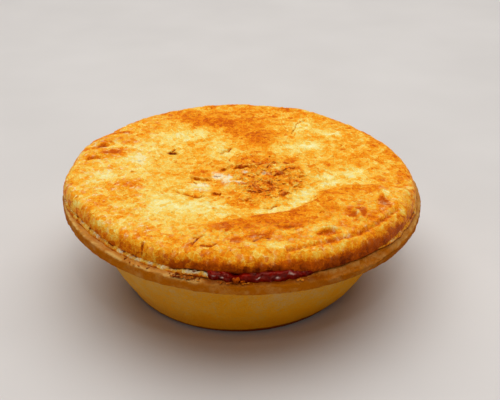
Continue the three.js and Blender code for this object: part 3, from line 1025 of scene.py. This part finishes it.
def makeCrust():
    out, dirX, dirY = discGrid(crust["cells"])
    x = crust["middle"][0] + out * dirX * crust["along"]
    y = crust["middle"][1] + out * dirY * crust["across"]
    rise, bake, dark, pale = crustShape(x, y)
    dark = np.maximum(lidDark(x, y), dark)
    z = lidCrown + lidRelief(x, y) + lidFine(x, y) + rise
    values = {
        "bake": lidBake(x, y, np.zeros(len(x))) + bake + 0.5 * dark,
        "dark": dark,
        # the flour value also carries the painted highlight of the torn crests
        "flourAndHighlight": np.maximum(lidFlourAndHighlight(x, y), 0.16 * pale) * (1.0 - dark) ** 2,
        "flaky": flakyShare(x, y),
    }
    points = flat3(x, y, z)
    points, faces = closeDisc(points, crust["cells"], lidCrown - 2.5, values)
    piece = makePiece("lidCrust", settled(points), faces, lidPastry, values)
    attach(piece, "root")
    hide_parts("lid")
    print("flaky crust made:", len(points), "points")


def lidProfileRun():
    a = np.radians(np.linspace(90.0, 0.0, 80))
    rise = lid["thickness"] - lid["edge"]
    shoulder = np.stack([
        lidShoulder + lid["shoulder"] * np.clip(np.cos(a), 0.0, 1.0) ** lid["fullness"],
        lidUnder + lid["edge"] + rise * np.sin(a),
    ], axis=1)
    corner = roundPart(lid["radius"] - lid["edge"], lidUnder + lid["edge"], lid["edge"], 0.0, -90.0, 12)
    inside = corner[-1] - np.array([lid["underReach"], 0.0])
    run = np.concatenate([[[0.0, lidCrown]], shoulder, corner[1:], [inside]])
    return evenly(run, 0.1)


def makeLid():
    n = lid["cells"]
    out, dirX, dirY = discGrid(n)
    run = lidProfileRun()
    s = np.linspace(0.0, 1.0, len(run))
    r = np.interp(out, s, run[:, 0])
    z = np.interp(out, s, run[:, 1])
    slope = np.gradient(run, axis=0)
    slope /= np.linalg.norm(slope, axis=1)[:, None]
    normR = np.interp(out, s, -slope[:, 1])
    normZ = np.interp(out, s, slope[:, 0])

    angle = bearing(r * dirX, r * dirY)
    heaveOut, heaveUp = lidHeave(angle, r)
    px, py = (r + heaveOut) * dirX + lid["shift"], (r + heaveOut) * dirY
    upper = smooth(z, lidUnder + 0.35 * lid["thickness"], lidUnder + 0.9 * lid["thickness"])
    raised = leak["height"] * lidLift(angle) * smooth(r, 38.0, 43.0)
    pz = z + mixed(raised, lidRelief(px, py) + 0.25 * raised + heaveUp, upper)

    # fine relief stands off the surface, with radial pleats on the shoulder
    p = flat3(px, py, pz)
    side = 1.0 - smooth(normZ, 0.15, 0.9)
    around = flat3(angle, 0.0 * angle)
    pleat = grain(flat3(angle, 0.35 * pz), 1.7, 71)
    ragged = layered(around, 6.0, 3, 0.6, 75)
    bed = crust["bed"] * (1.0 - smooth(crustOut(px, py), 0.89, 0.97))
    fine = (1.0 - side) * (lidFine(px, py) - bed)
    fine = fine + side * (lid["pleats"] * pleat + lid["sideRough"] * layered(p, 2.6, 3, 0.5, 77))
    under = smooth(-normZ, 0.2, 0.9)
    fine = fine * (1.0 - under)
    px = px + fine * normR * dirX
    py = py + fine * normR * dirY
    pz = pz + fine * normZ
    # the lower edge wanders a little, never below the rim
    low = side * (1.0 - upper) * (1.0 - under)
    pz = pz + low * np.clip(0.25 * ragged, -0.1, 0.6)

    # gravy has soaked into the lower edge where it comes out
    stainAndSideShade = leaking(angle, "run", 1.5, 8.0) * smooth(side, 0.5, 0.9)
    stainAndSideShade = stainAndSideShade * (1.0 - smooth(z - lidUnder, 0.4, 2.4 + 0.9 * ragged))
    # painted shade: a thin dark seam below the lid, broken here and there
    shut = np.max([between(angle, *span) for span in lid["seams"]], axis=0)
    broken = smooth(layered(around, 3.4, 3, 0.6, 79), -0.5, 0.2)
    seamShade = shut * broken * smooth(side, 0.6, 0.95) * (1.0 - smooth(z - lidUnder, 0.35, 0.95))
    # the side is darkened in streaks, partly baked darker and partly painted shade, most of all at the
    # front, least at the left and far right
    streak = layered(flat3(angle, 0.12 * z), 2.2, 3, 0.6, 85)
    lower = np.clip(side ** 0.65 * (0.85 + 0.5 * streak), 0.0, 1.2)
    shade = 0.45
    for more, middle, half in lid["sideShades"]:
        shade = shade + more * stretchShare(angle, middle, half)
    stainAndSideShade = np.maximum(stainAndSideShade, lower * shade)
    marks = lidDark(px, py)
    values = {
        "bake": lidBake(px, py, side) + 0.5 * marks * (1.0 - side),
        "dark": np.max([marks * (1.0 - 0.5 * side), 0.48 * stainAndSideShade, 0.2 * seamShade], axis=0),
        "flourAndHighlight": lidFlourAndHighlight(px, py) * (1.0 - side),
        "flaky": flakyShare(px, py),
    }
    points = flat3(px, py, pz)
    points, faces = closeDisc(points, n, lidUnder, values)
    piece = makePiece("pieLid", settled(points), faces, lidPastry, values)
    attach(piece, "root")
    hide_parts("lid")
    print("lid made:", len(points), "points")


makeLid()
makeCrust()


# the lowest layer of the lid, pale where it shows in the seam and sloping down to the rim
seam = {
    # bearings from and to, half length, half thickness, how far out, how high, fall in degrees, flour
    "stretches": [
        (-84.0, -5.5, 1.15, 0.34, 0.2, 0.42, 38.0, 0.26),
        (44.0, 80.0, 0.95, 0.5, 0.0, 0.8, 56.0, 0.04),
    ],
    "torn": (-26.0, -14.0, 0.0, 10.0),
    "step": 0.2,
    "corners": 16,
}


def makeSeam():
    allPoints, faces = [], []
    parts = {"bake": [], "dark": [], "flourAndHighlight": []}
    count = 0
    corners = seam["corners"]
    turn = np.arange(corners) / corners * 2.0 * math.pi
    for start, end, length, thick, outward, level, fall, pale in seam["stretches"]:
        angle = np.arange(start, end, seam["step"])
        n = len(angle)
        line = flat3(angle, 0.0 * angle)
        ends = np.clip(np.minimum(angle - start, end - angle) / 7.0, 0.01, 1.0) ** 0.8
        fat = ends * np.clip(0.9 + 0.35 * layered(line, 4.0, 3, 0.65, 151), 0.2, 1.4)
        edge = lid["radius"] + lidHeave(angle, np.full(n, lid["radius"]))[0]
        lift = leak["height"] * lidLift(angle)
        middle = edge + outward + 0.15 * grain(line, 4.0, 153)
        torn = between(angle, *seam["torn"])
        height = pie["rimTop"] + level + 0.4 * lift + 0.08 * grain(line, 3.0, 155) - 0.15 * torn
        along = (length * fat)[:, None] * np.cos(turn)
        across = ((thick + 0.25 * lift) * fat)[:, None] * np.sin(turn)
        slope = math.radians(fall)
        r = middle[:, None] + along * math.cos(slope) + across * math.sin(slope)
        z = height[:, None] - along * math.sin(slope) + across * math.cos(slope)
        a = np.radians(angle)[:, None]
        r = np.minimum(r, pie["rimRadius"] - 0.6 + (pie["rimShift"] - lid["shift"]) * np.sin(a))
        points = np.stack([r * np.sin(a) + lid["shift"], -r * np.cos(a), z], axis=2).reshape(-1, 3)
        points[:, 2] += (0.12 + 0.3 * np.repeat(torn, corners)) * layered(points, 1.1, 3, 0.6, 157)
        for i in range(n - 1):
            for j in range(corners):
                k = (j + 1) % corners
                low, high = count + i * corners, count + (i + 1) * corners
                faces.append((low + j, high + j, high + k, low + k))
        faces.append(tuple(count + j for j in range(corners)))
        faces.append(tuple(count + (n - 1) * corners + j for j in reversed(range(corners))))
        # pale above, golden towards the rim, with thin dark pits of painted shade against the lid
        down = np.tile(np.cos(turn), n) + 0.3 * layered(points, 2.0, 3, 0.6, 159)
        pitShade = hump(down, -0.45, 0.22) * smooth(layered(points, 3.2, 3, 0.7, 161), 0.0, 0.35)
        dusted = np.clip(pale + 0.5 * layered(points, 3.0, 3, 0.6, 163), 0.0, 0.7)
        parts["bake"].append(0.56 - pale + 0.5 * smooth(down, 0.25, 0.9))
        parts["dark"].append(0.25 + 0.65 * pitShade)
        parts["flourAndHighlight"].append(dusted * (1.0 - smooth(down, 0.15, 0.75)))
        allPoints.append(points)
        count += len(points)
    points = np.concatenate(allPoints)
    values = {name: np.concatenate(runs) for name, runs in parts.items()}
    piece = makePiece("seamLayer", settled(points), faces, lidPastry, values)
    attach(piece, "root")
    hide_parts("lid")
    print("seam layer made:", len(points), "points")


makeSeam()


# case: a foot, sloping sides and a rim with a squared edge

case = {
    "rimThickness": 4.0,
    "rimEdge": 1.2,
    "rimWidth": 7.5,
    "baseRadius": 39.8,
    "footRound": 1.6,
    "neckRadius": 51.6,
    "neckDrop": 1.8,
    "flareShare": 0.45,
    "flareDrop": 0.4,
    "sideBulge": 1.3,
    "wall": 3.4,
    "floor": 4.0,
    "bevel": 0.6,
    "swell": 1.2,
    "swellAt": (57.0, 15.0),
    "fall": 0.9,
    "topEdge": 0.8,
    "wander": (0.28, 0.12),  # of the rim, sideways and up
    "rimRough": 0.2,
    "crestRough": 0.22,
    "topRough": 0.14,
    "uprights": (0.10, 0.12),  # narrow and wide marks down the side
    "sideRough": 0.12,
    "sectors": 780,
    "step": 0.55,
    # bearings from, full, fading, to: where the rim falls away, and where its crest is pale
    "falling": (17.0, 25.0, 84.0, 96.0),
    "paleLeft": (-84.0, -66.0, -24.0, -8.0),
    "paleRight": (22.0, 27.0, 38.0, 46.0),
    "farRight": (36.0, 56.0, 95.0, 110.0),
    # bearing and half length of the torn crest, the paler wall and the higher painted shade at the foot
    "tornAt": (-14.0, 6.0),
    "paleWall": (-62.0, 32.0),
    "footShade": (22.0, 34.0),
}


def caseProfileRun():
    c = case
    top, rim = pie["rimTop"], pie["rimRadius"]
    under = top - c["rimThickness"]
    neck = under - c["neckDrop"]
    lean = math.degrees(math.atan2(c["neckRadius"] - c["baseRadius"], neck - c["footRound"]))
    foot = roundPart(c["baseRadius"] - c["footRound"], c["footRound"], c["footRound"], -90.0, -lean, 10)
    t = np.linspace(0.0, 1.0, 40)
    side = np.stack([
        mixed(c["baseRadius"], c["neckRadius"], t) + c["sideBulge"] * np.sin(math.pi * t),
        mixed(c["footRound"], neck, t),
    ], axis=1)
    bend = np.array([[mixed(c["neckRadius"], rim, c["flareShare"]), under - c["flareDrop"]]])
    edge = c["rimEdge"]
    lower = roundPart(rim - edge, under + edge, edge, -86.0, 0.0, 10)
    upper = roundPart(rim - c["topEdge"], top - c["topEdge"], c["topEdge"], 0.0, 90.0, 10)
    mouth = rim - c["rimWidth"]
    shown = np.concatenate([
        [[c["baseRadius"] - 6.0, 0.0]], foot, side[2:], bend, lower, upper,
        [[mouth + c["bevel"], top]],
    ])
    inner = c["baseRadius"] - c["wall"]
    hidden = np.array([
        [mouth, top - c["bevel"]],
        [inner, c["floor"] + c["footRound"]],
        [inner - c["footRound"], c["floor"]],
    ])
    return np.concatenate([[[0.0, 0.0]], evenly(shown, c["step"]), hidden, [[0.0, c["floor"]]]])


def makeCase():
    c = case
    run = caseProfileRun()
    points = turnedPoints(run, c["sectors"])
    x, y, z = points.T
    r = np.hypot(x, y)
    angle = bearing(x, y)
    top, rim = pie["rimTop"], pie["rimRadius"]
    mouth = rim - c["rimWidth"]
    under = top - c["rimThickness"]
    onRim = smooth(r, mouth + 2.0, rim - 1.0) * smooth(z, under - 2.0, under + 0.6)
    browned = smooth(z + 0.7 * layered(points, 5.0, 3, 0.6, 131), under - 3.0, under + 1.4)
    onSide = (1.0 - onRim) * smooth(r - (c["baseRadius"] - 1.0) - 0.42 * z, -1.2, 0.2) * smooth(z, 0.0, 1.5)
    onTop = smooth(z, top - 0.5, top - 0.05) * smooth(r, mouth + 1.0, mouth + 2.0)
    p = points.copy()

    # the rim wanders, its crest is rough, and the sides carry faint upright marks
    around = flat3(1.04 * angle, 0.0 * angle)
    crest = hump(z, top, 0.9) * smooth(r, rim - 2.5, rim - 0.8)
    torn = crest * stretchShare(angle, *c["tornAt"])
    sideways, upwards = c["wander"]
    narrow, wide = c["uprights"]
    upright = narrow * grain(around, 2.4, 107) + wide * grain(around, 9.0, 108)
    off = onRim * (sideways * grain(p, 20.0, 101) + c["rimRough"] * layered(p, 2.4, 3, 0.6, 103))
    off = off + onSide * (upright + c["sideRough"] * grain(p, 11.0, 109))
    off = off + torn * 0.5 * layered(p, 1.6, 3, 0.6, 111)
    off = off + c["swell"] * stretchShare(angle, *c["swellAt"]) * between(z, 0.0, 4.0, 10.0, 26.0)
    grow = 1.0 + off / np.maximum(r, 1.0)
    x, y = x * grow + pie["rimShift"] * onRim, y * grow
    z = z + upwards * onRim * grain(p, 20.0, 113)
    z = z + crest * c["crestRough"] * layered(p, 2.2, 3, 0.65, 115) - torn * 0.3
    z = z + c["topRough"] * onTop * layered(p, 2.0, 2, 0.6, 117)
    z = z + crest * leaking(angle, "run", 3.0, 6.0) * 0.15 * layered(p, 1.8, 3, 0.6, 119)

    # at the right the rim falls away from the lid, elsewhere it keeps a flat ledge
    spread, _ = lidHeave(angle, np.full(len(r), lid["radius"]))
    fromLid = np.hypot(x - lid["shift"], y) - lid["radius"] - spread
    falling = between(angle, *c["falling"])
    nearTop = smooth(points[:, 2], top - 1.6, top - 0.4)
    drop = c["fall"] * smooth(fromLid, -0.2, 1.9) - 0.25 * (1.0 - smooth(fromLid, 0.0, 0.8))
    z = z - nearTop * falling * drop

    # a pale line along the crest, brightest at the left, and dark pits of painted shade beside the lid
    left = between(angle, *c["paleLeft"])
    right = between(angle, *c["paleRight"])
    farRight = between(angle, *c["farRight"])
    line = hump(r, rim - 0.45, 0.32) * smooth(points[:, 2], top - 0.8, top - 0.2)
    line = line * (0.2 + 0.8 * smooth(layered(p, 4.0, 3, 0.6, 125), -0.4, 0.2))
    broken = smooth(layered(p, 2.2, 3, 0.6, 123), -0.35, 0.25)
    wall = 0.18 * onSide * stretchShare(angle, *c["paleWall"])
    inner = 0.4 * right * broken * hump(fromLid, 0.5, 0.3) * onTop
    flourAndHighlight = line * (0.1 + 0.7 * left + 0.4 * farRight) + 0.4 * torn * broken + inner + wall
    flourAndHighlight = np.clip(flourAndHighlight, 0.0, 1.0)
    pitShade = smooth(grain(p, 1.5, 127), 0.2, 0.6) * hump(fromLid, 0.0, 0.6) * onTop

    # the rim is toasted, darker on its edge than on top, and gravy has wetted its top
    atGravy = leaking(angle, "run", 6.0, 8.0)
    paler = mixed(mixed(0.35, 0.1, atGravy), 0.05 + 0.3 * farRight, falling)
    toast = onRim * browned * (1.0 + 0.35 * layered(p, 3.6, 3, 0.6, 129)) * (1.0 - onTop * paler)
    soaked = smooth(fromLid + 0.5 * layered(p, 1.5, 3, 0.6, 133), 0.2, 0.8)
    wetAndPaintedGlint = 0.7 * leaking(angle, "run", 3.0, 9.0) * soaked * onTop
    shade = 0.25 * onRim * falling * (1.0 - smooth(angle, 52.0, 62.0))
    # painted shade: the foot's lowest edge is darkened as a contact shadow, higher at the front right
    footShadeRise = 0.7 + 0.8 * stretchShare(angle, *c["footShade"])
    foot = 0.95 * (1.0 - smooth(points[:, 2], footShadeRise, footShadeRise + 1.0))
    values = {"toast": toast, "flourAndHighlight": flourAndHighlight, "dark": np.max([0.6 * pitShade, shade, foot, wetAndPaintedGlint], axis=0)}
    points = flat3(x, y, z)
    points[0] = (0.0, 0.0, 0.0)
    faces = turnedFaces(len(run) - 2, c["sectors"])
    piece = makePiece("pieCase", settled(points), faces, casePastry, values)
    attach(piece, "root")
    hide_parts("case")
    print("case made:", len(points), "points")


makeCase()


# filling: it fills the case, and at the front it swells out between rim and lid

filling = {
    "gap": 0.9,
    "sectors": 720,
    "lip": 1.1,
    "width": 7.0,
    "lump": 0.4,
    "edgeRings": 60,
    # painted highlights: small glints mixed into the gravy's colour: bearing, place up the swell, half
    # length
    "glints": [
        (-6.4, 0.61, 0.7), (-4.4, 0.58, 0.5), (5.4, 0.585, 0.6),
        (8.0, 0.61, 0.9), (10.6, 0.58, 0.4), (14.6, 0.64, 0.6),
    ],
    "glintWidth": 0.013,
    "bridgeAt": (-0.8, 1.4),  # the dry bridge between the two pools, bearing and half length
    "climbAt": (3.0, 9.0, 15.0, 22.0),  # where the gravy stands highest
}


def makeFilling():
    top, rim = pie["rimTop"], pie["rimRadius"]
    mouth = rim - case["rimWidth"] - filling["gap"]
    inner = case["baseRadius"] - case["wall"] - filling["gap"]
    floor = case["floor"] + pie["gap"]
    foot = case["footRound"]
    level = top - pie["gap"]
    rings = filling["edgeRings"]
    wall = np.linspace([inner, floor + foot], [mouth, level - 0.6], 9)
    lipRun = np.linspace([mouth, level - 0.5], [mouth, level], rings + 1)
    back = np.array([[mouth - inset, level] for inset in (1.0, 3.0, 5.0, 10.0)])
    below = [[0.0, floor], [inner - foot, floor]]
    run = np.concatenate([below, wall, lipRun, back, [[0.0, level]]])
    sectors = filling["sectors"]
    points = turnedPoints(run, sectors)
    x, y, z = points.T.copy()
    r = np.hypot(x, y)
    angle = bearing(x, y)
    # the rings of the swell, numbered from 0 to 1, and the surface behind them
    first = 1 + (1 + len(wall)) * sectors
    last = first + (rings + 1) * sectors
    t = np.zeros(len(x))
    t[first:last] = np.repeat(np.arange(rings + 1) / rings, sectors)
    inLip = np.zeros(len(x), dtype=bool)
    inLip[first:last] = True
    atBack = r > mouth - filling["width"]
    atBack[:first] = False
    up = leaking(angle, "rise", 6.0, 6.0)
    reach = leaking(angle, "run", 2.8, 8.0)
    uneven = np.clip(0.6 * layered(flat3(angle, 0.0 * angle), 3.0, 3, 0.65, 141), -1.0, 0.3)
    tucked = 1.5 * smooth(angle, 16.0, 25.0) + 1.1 * (1.0 - smooth(angle, -9.0, -3.5))
    far = rim - filling["lip"] + uneven - tucked
    # from the mouth out over the rim, up its wet front, and back under the lid
    out = np.where(t < 0.5, smooth(t, 0.0, 0.42), 1.0 - smooth(t, 0.62, 1.0))
    pool = 1.0 - 0.6 * stretchShare(angle, *filling["bridgeAt"])
    fill = 0.3 + 0.75 * lidLift(angle) * pool * smooth(reach, 0.45, 0.95)
    climb = 0.95 + 0.6 * between(angle, *filling["climbAt"])
    tall = -0.1 + (leak["height"] * fill + 0.1) * smooth(t, 0.42, 0.66)
    tall = tall + climb * reach * pool * smooth(t, 0.54, 0.7)
    tall = tall - 0.3 * np.clip(1.0 - t / 0.42, 0.0, 1.0) + 0.08 * np.clip((t - 0.62) / 0.38, 0.0, 1.0)
    newR = mixed(r, far, reach * out)
    newZ = mixed(z, top + tall, up)
    r2 = np.where(inLip, newR, r)
    z2 = np.where(inLip, newZ, np.where(atBack, mixed(z, top + leak["height"], up), z))
    grow = r2 / np.maximum(r, 1e-6)
    x, y = x * grow, y * grow
    p = flat3(x, y, z2)
    lump = filling["lump"] * layered(p, 2.0, 3, 0.55, 143)
    shown = inLip * reach * smooth(r2, rim - 4.0, rim - 2.0)
    z2 = z2 + shown * np.clip(lump, -0.12, 0.4) * smooth(t, 0.3, 0.5)
    push = 1.0 + shown * 0.2 * lump / np.maximum(r2, 1.0)
    points = flat3(x * push, y * push, z2)
    # painted highlight: where the small glints lie on the swell, broken up by a noise
    wetAndPaintedGlint = np.zeros(len(x))
    for at, place, half in filling["glints"]:
        spot = stretchShare(angle, at, half) * hump(t, place, filling["glintWidth"])
        wetAndPaintedGlint = np.maximum(wetAndPaintedGlint, inLip * spot)
    wetAndPaintedGlint = wetAndPaintedGlint * smooth(layered(p, 0.9, 2, 0.6, 147), -0.4, 0.2)
    faces = turnedFaces(len(run) - 2, sectors)
    piece = makePiece("pieFilling", settled(points), faces, gravy, {"wetAndPaintedGlint": wetAndPaintedGlint})
    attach(piece, "root")
    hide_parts("filling")
    print("filling made:", len(points), "points")


makeFilling()


# crumbs that cling to the rim, and brown lumps between the two pools of gravy
crumbs = {
    # bearing, half spread, number
    "heaps": [(-14.5, 4.5, 45), (-4.5, 3.0, 8), (1.5, 3.0, 5), (16.5, 2.2, 5), (-30.0, 8.0, 10)],
    "size": (0.16, 0.42),
    "inset": (0.3, 2.2),  # how far in from the edge, left of the gravy
    "gravyInset": (0.3, 0.9),
    "squash": (1.5, 0.8, 0.6),
    # bearing, inset, lift, size
    "bridge": [(-1.9, 1.2, 0.8, 0.8), (-0.7, 1.4, 0.9, 0.8), (0.5, 1.0, 0.5, 0.6), (-1.2, 0.8, 0.3, 0.7)],
    "rings": 5,
    "sectors": 8,
    "seed": 58,
}


def makeCrumbs():
    dice = np.random.default_rng(crumbs["seed"])
    lumps = [(at, inset, lift, size, 1.0, 0.0, 0.45) for at, inset, lift, size in crumbs["bridge"]]
    for middle, half, number in crumbs["heaps"]:
        for i in range(number):
            size = dice.uniform(*crumbs["size"])
            at = dice.normal(middle, 0.6 * half)
            inset = dice.uniform(*(crumbs["inset"] if middle < -10.0 else crumbs["gravyInset"]))
            brown = dice.uniform(0.4, 0.75)
            white = dice.uniform(0.0, 0.12)
            lumps.append((at, inset, 0.1 * size, size, brown, white, 0.5))
    allPoints, faces = [], []
    parts = {"bake": [], "flourAndHighlight": [], "dark": []}
    count = 0
    turn = np.radians(np.linspace(-90.0, 90.0, crumbs["rings"] + 2))
    ball = turnedPoints(np.stack([np.cos(turn), np.sin(turn)], axis=1), crumbs["sectors"])
    ball[[0, -1], :2] = 0.0
    ballFaces = turnedFaces(crumbs["rings"], crumbs["sectors"])
    for i, (at, inset, lift, size, brown, white, shade) in enumerate(lumps):
        a = math.radians(at)
        spin = dice.uniform(0.0, math.pi)
        r = pie["rimRadius"] - inset
        lump = ball * (1.0 + 0.45 * layered(ball + 5.0 * i, 1.1, 2, 0.5, 171))[:, None]
        lump = lump * size * np.array(crumbs["squash"])
        x = lump[:, 0] * math.cos(spin) - lump[:, 1] * math.sin(spin)
        y = lump[:, 0] * math.sin(spin) + lump[:, 1] * math.cos(spin)
        middle = np.array([r * math.sin(a) + pie["rimShift"], -r * math.cos(a), pie["rimTop"] + lift])
        allPoints.append(flat3(x, y, lump[:, 2]) + middle)
        faces += [tuple(k + count for k in face) for face in ballFaces]
        for name, value in (("bake", brown), ("flourAndHighlight", white), ("dark", shade)):
            parts[name].append(np.full(len(ball), value))
        count += len(ball)
    points = np.concatenate(allPoints)
    values = {name: np.concatenate(runs) for name, runs in parts.items()}
    piece = makePiece("rimCrumbs", settled(points), faces, lidPastry, values)
    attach(piece, "root")
    print("crumbs made:", len(lumps))


makeCrumbs()


# floor, light and camera

studio = {
    "floor": {"colors": [(0.3, (205, 200, 196)), (0.7, (210, 205, 201))], "cloud": (60.0, 2.0), "half": 3.0,
              "roughness": 0.6, "gloss": 0.1, "sheen": (255, 255, 255)},
    "sky": (1.0, 0.98, 0.95, 1.0),
    "skyStrength": 0.11,
    "aim": (0.0, 0.0, 0.02),
    "lamps": {
        "key": {"at": (0.02, 0.2, 1.0), "size": 1.6, "power": 15.7},
        "leftFill": {"at": (-0.75, -0.7, 0.14), "size": 0.3, "power": 1.4},
        "rightFill": {"at": (0.85, -0.55, 0.14), "size": 0.3, "power": 0.75},
        "glint": {"at": (0.05, -0.45, 0.75), "size": 0.05, "power": 0.25},
    },
}
# the camera, its distances in millimetres
view = {"elevation": 29.38, "distance": 276.58, "right": 3.14, "up": 1.19, "target": 25.0, "lens": 57.53}


def makeStudio():
    material, tree, place = newFinish("paleFloor")
    cloud = noiseOf(tree, place, *studio["floor"]["cloud"])
    coverWith(tree, rampOf(tree, cloud, studio["floor"]["colors"]), studio["floor"])
    mesh = bpy.data.meshes.new("floor")
    half = studio["floor"]["half"]
    corners = [(-half, -half, 0), (half, -half, 0), (half, half, 0), (-half, half, 0)]
    mesh.from_pydata(corners, [], [(0, 1, 2, 3)])
    mesh.materials.append(material)
    floor = bpy.data.objects.new("floor", mesh)
    bpy.context.scene.collection.objects.link(floor)

    world = bpy.data.worlds.new("softRoom")
    world.use_nodes = True
    sky = world.node_tree.nodes["Background"]
    sky.inputs["Color"].default_value = studio["sky"]
    sky.inputs["Strength"].default_value = studio["skyStrength"]
    bpy.context.scene.world = world

    for name, values in studio["lamps"].items():
        light = bpy.data.lights.new(name, "AREA")
        light.shape = "DISK"
        light.size = values["size"]
        light.energy = values["power"]
        lamp = bpy.data.objects.new(name, light)
        lamp.location = values["at"]
        aim = Vector(studio["aim"]) - Vector(values["at"])
        lamp.rotation_euler = aim.to_track_quat("-Z", "Y").to_euler()
        bpy.context.scene.collection.objects.link(lamp)
    print("floor and lights made")


def makeCamera():
    e = math.radians(view["elevation"])
    right = Vector((1.0, 0.0, 0.0))
    up = Vector((0.0, math.sin(e), math.cos(e)))
    back = Vector((0.0, -math.cos(e), math.sin(e)))
    target = Vector((0.0, 0.0, view["target"])) + right * view["right"] + up * view["up"]
    data = bpy.data.cameras.new("camera")
    data.sensor_fit = "HORIZONTAL"
    data.sensor_width = 36.0
    data.lens = view["lens"]
    data.clip_start = 0.01
    camera = bpy.data.objects.new("camera", data)
    turn = Matrix((right, up, back)).transposed().to_4x4()
    camera.matrix_world = Matrix.Translation((target + back * view["distance"]) * mm) @ turn
    bpy.context.scene.collection.objects.link(camera)
    bpy.context.scene.camera = camera


makeStudio()
makeCamera()
bpy.context.scene.view_settings.view_transform = "Standard"
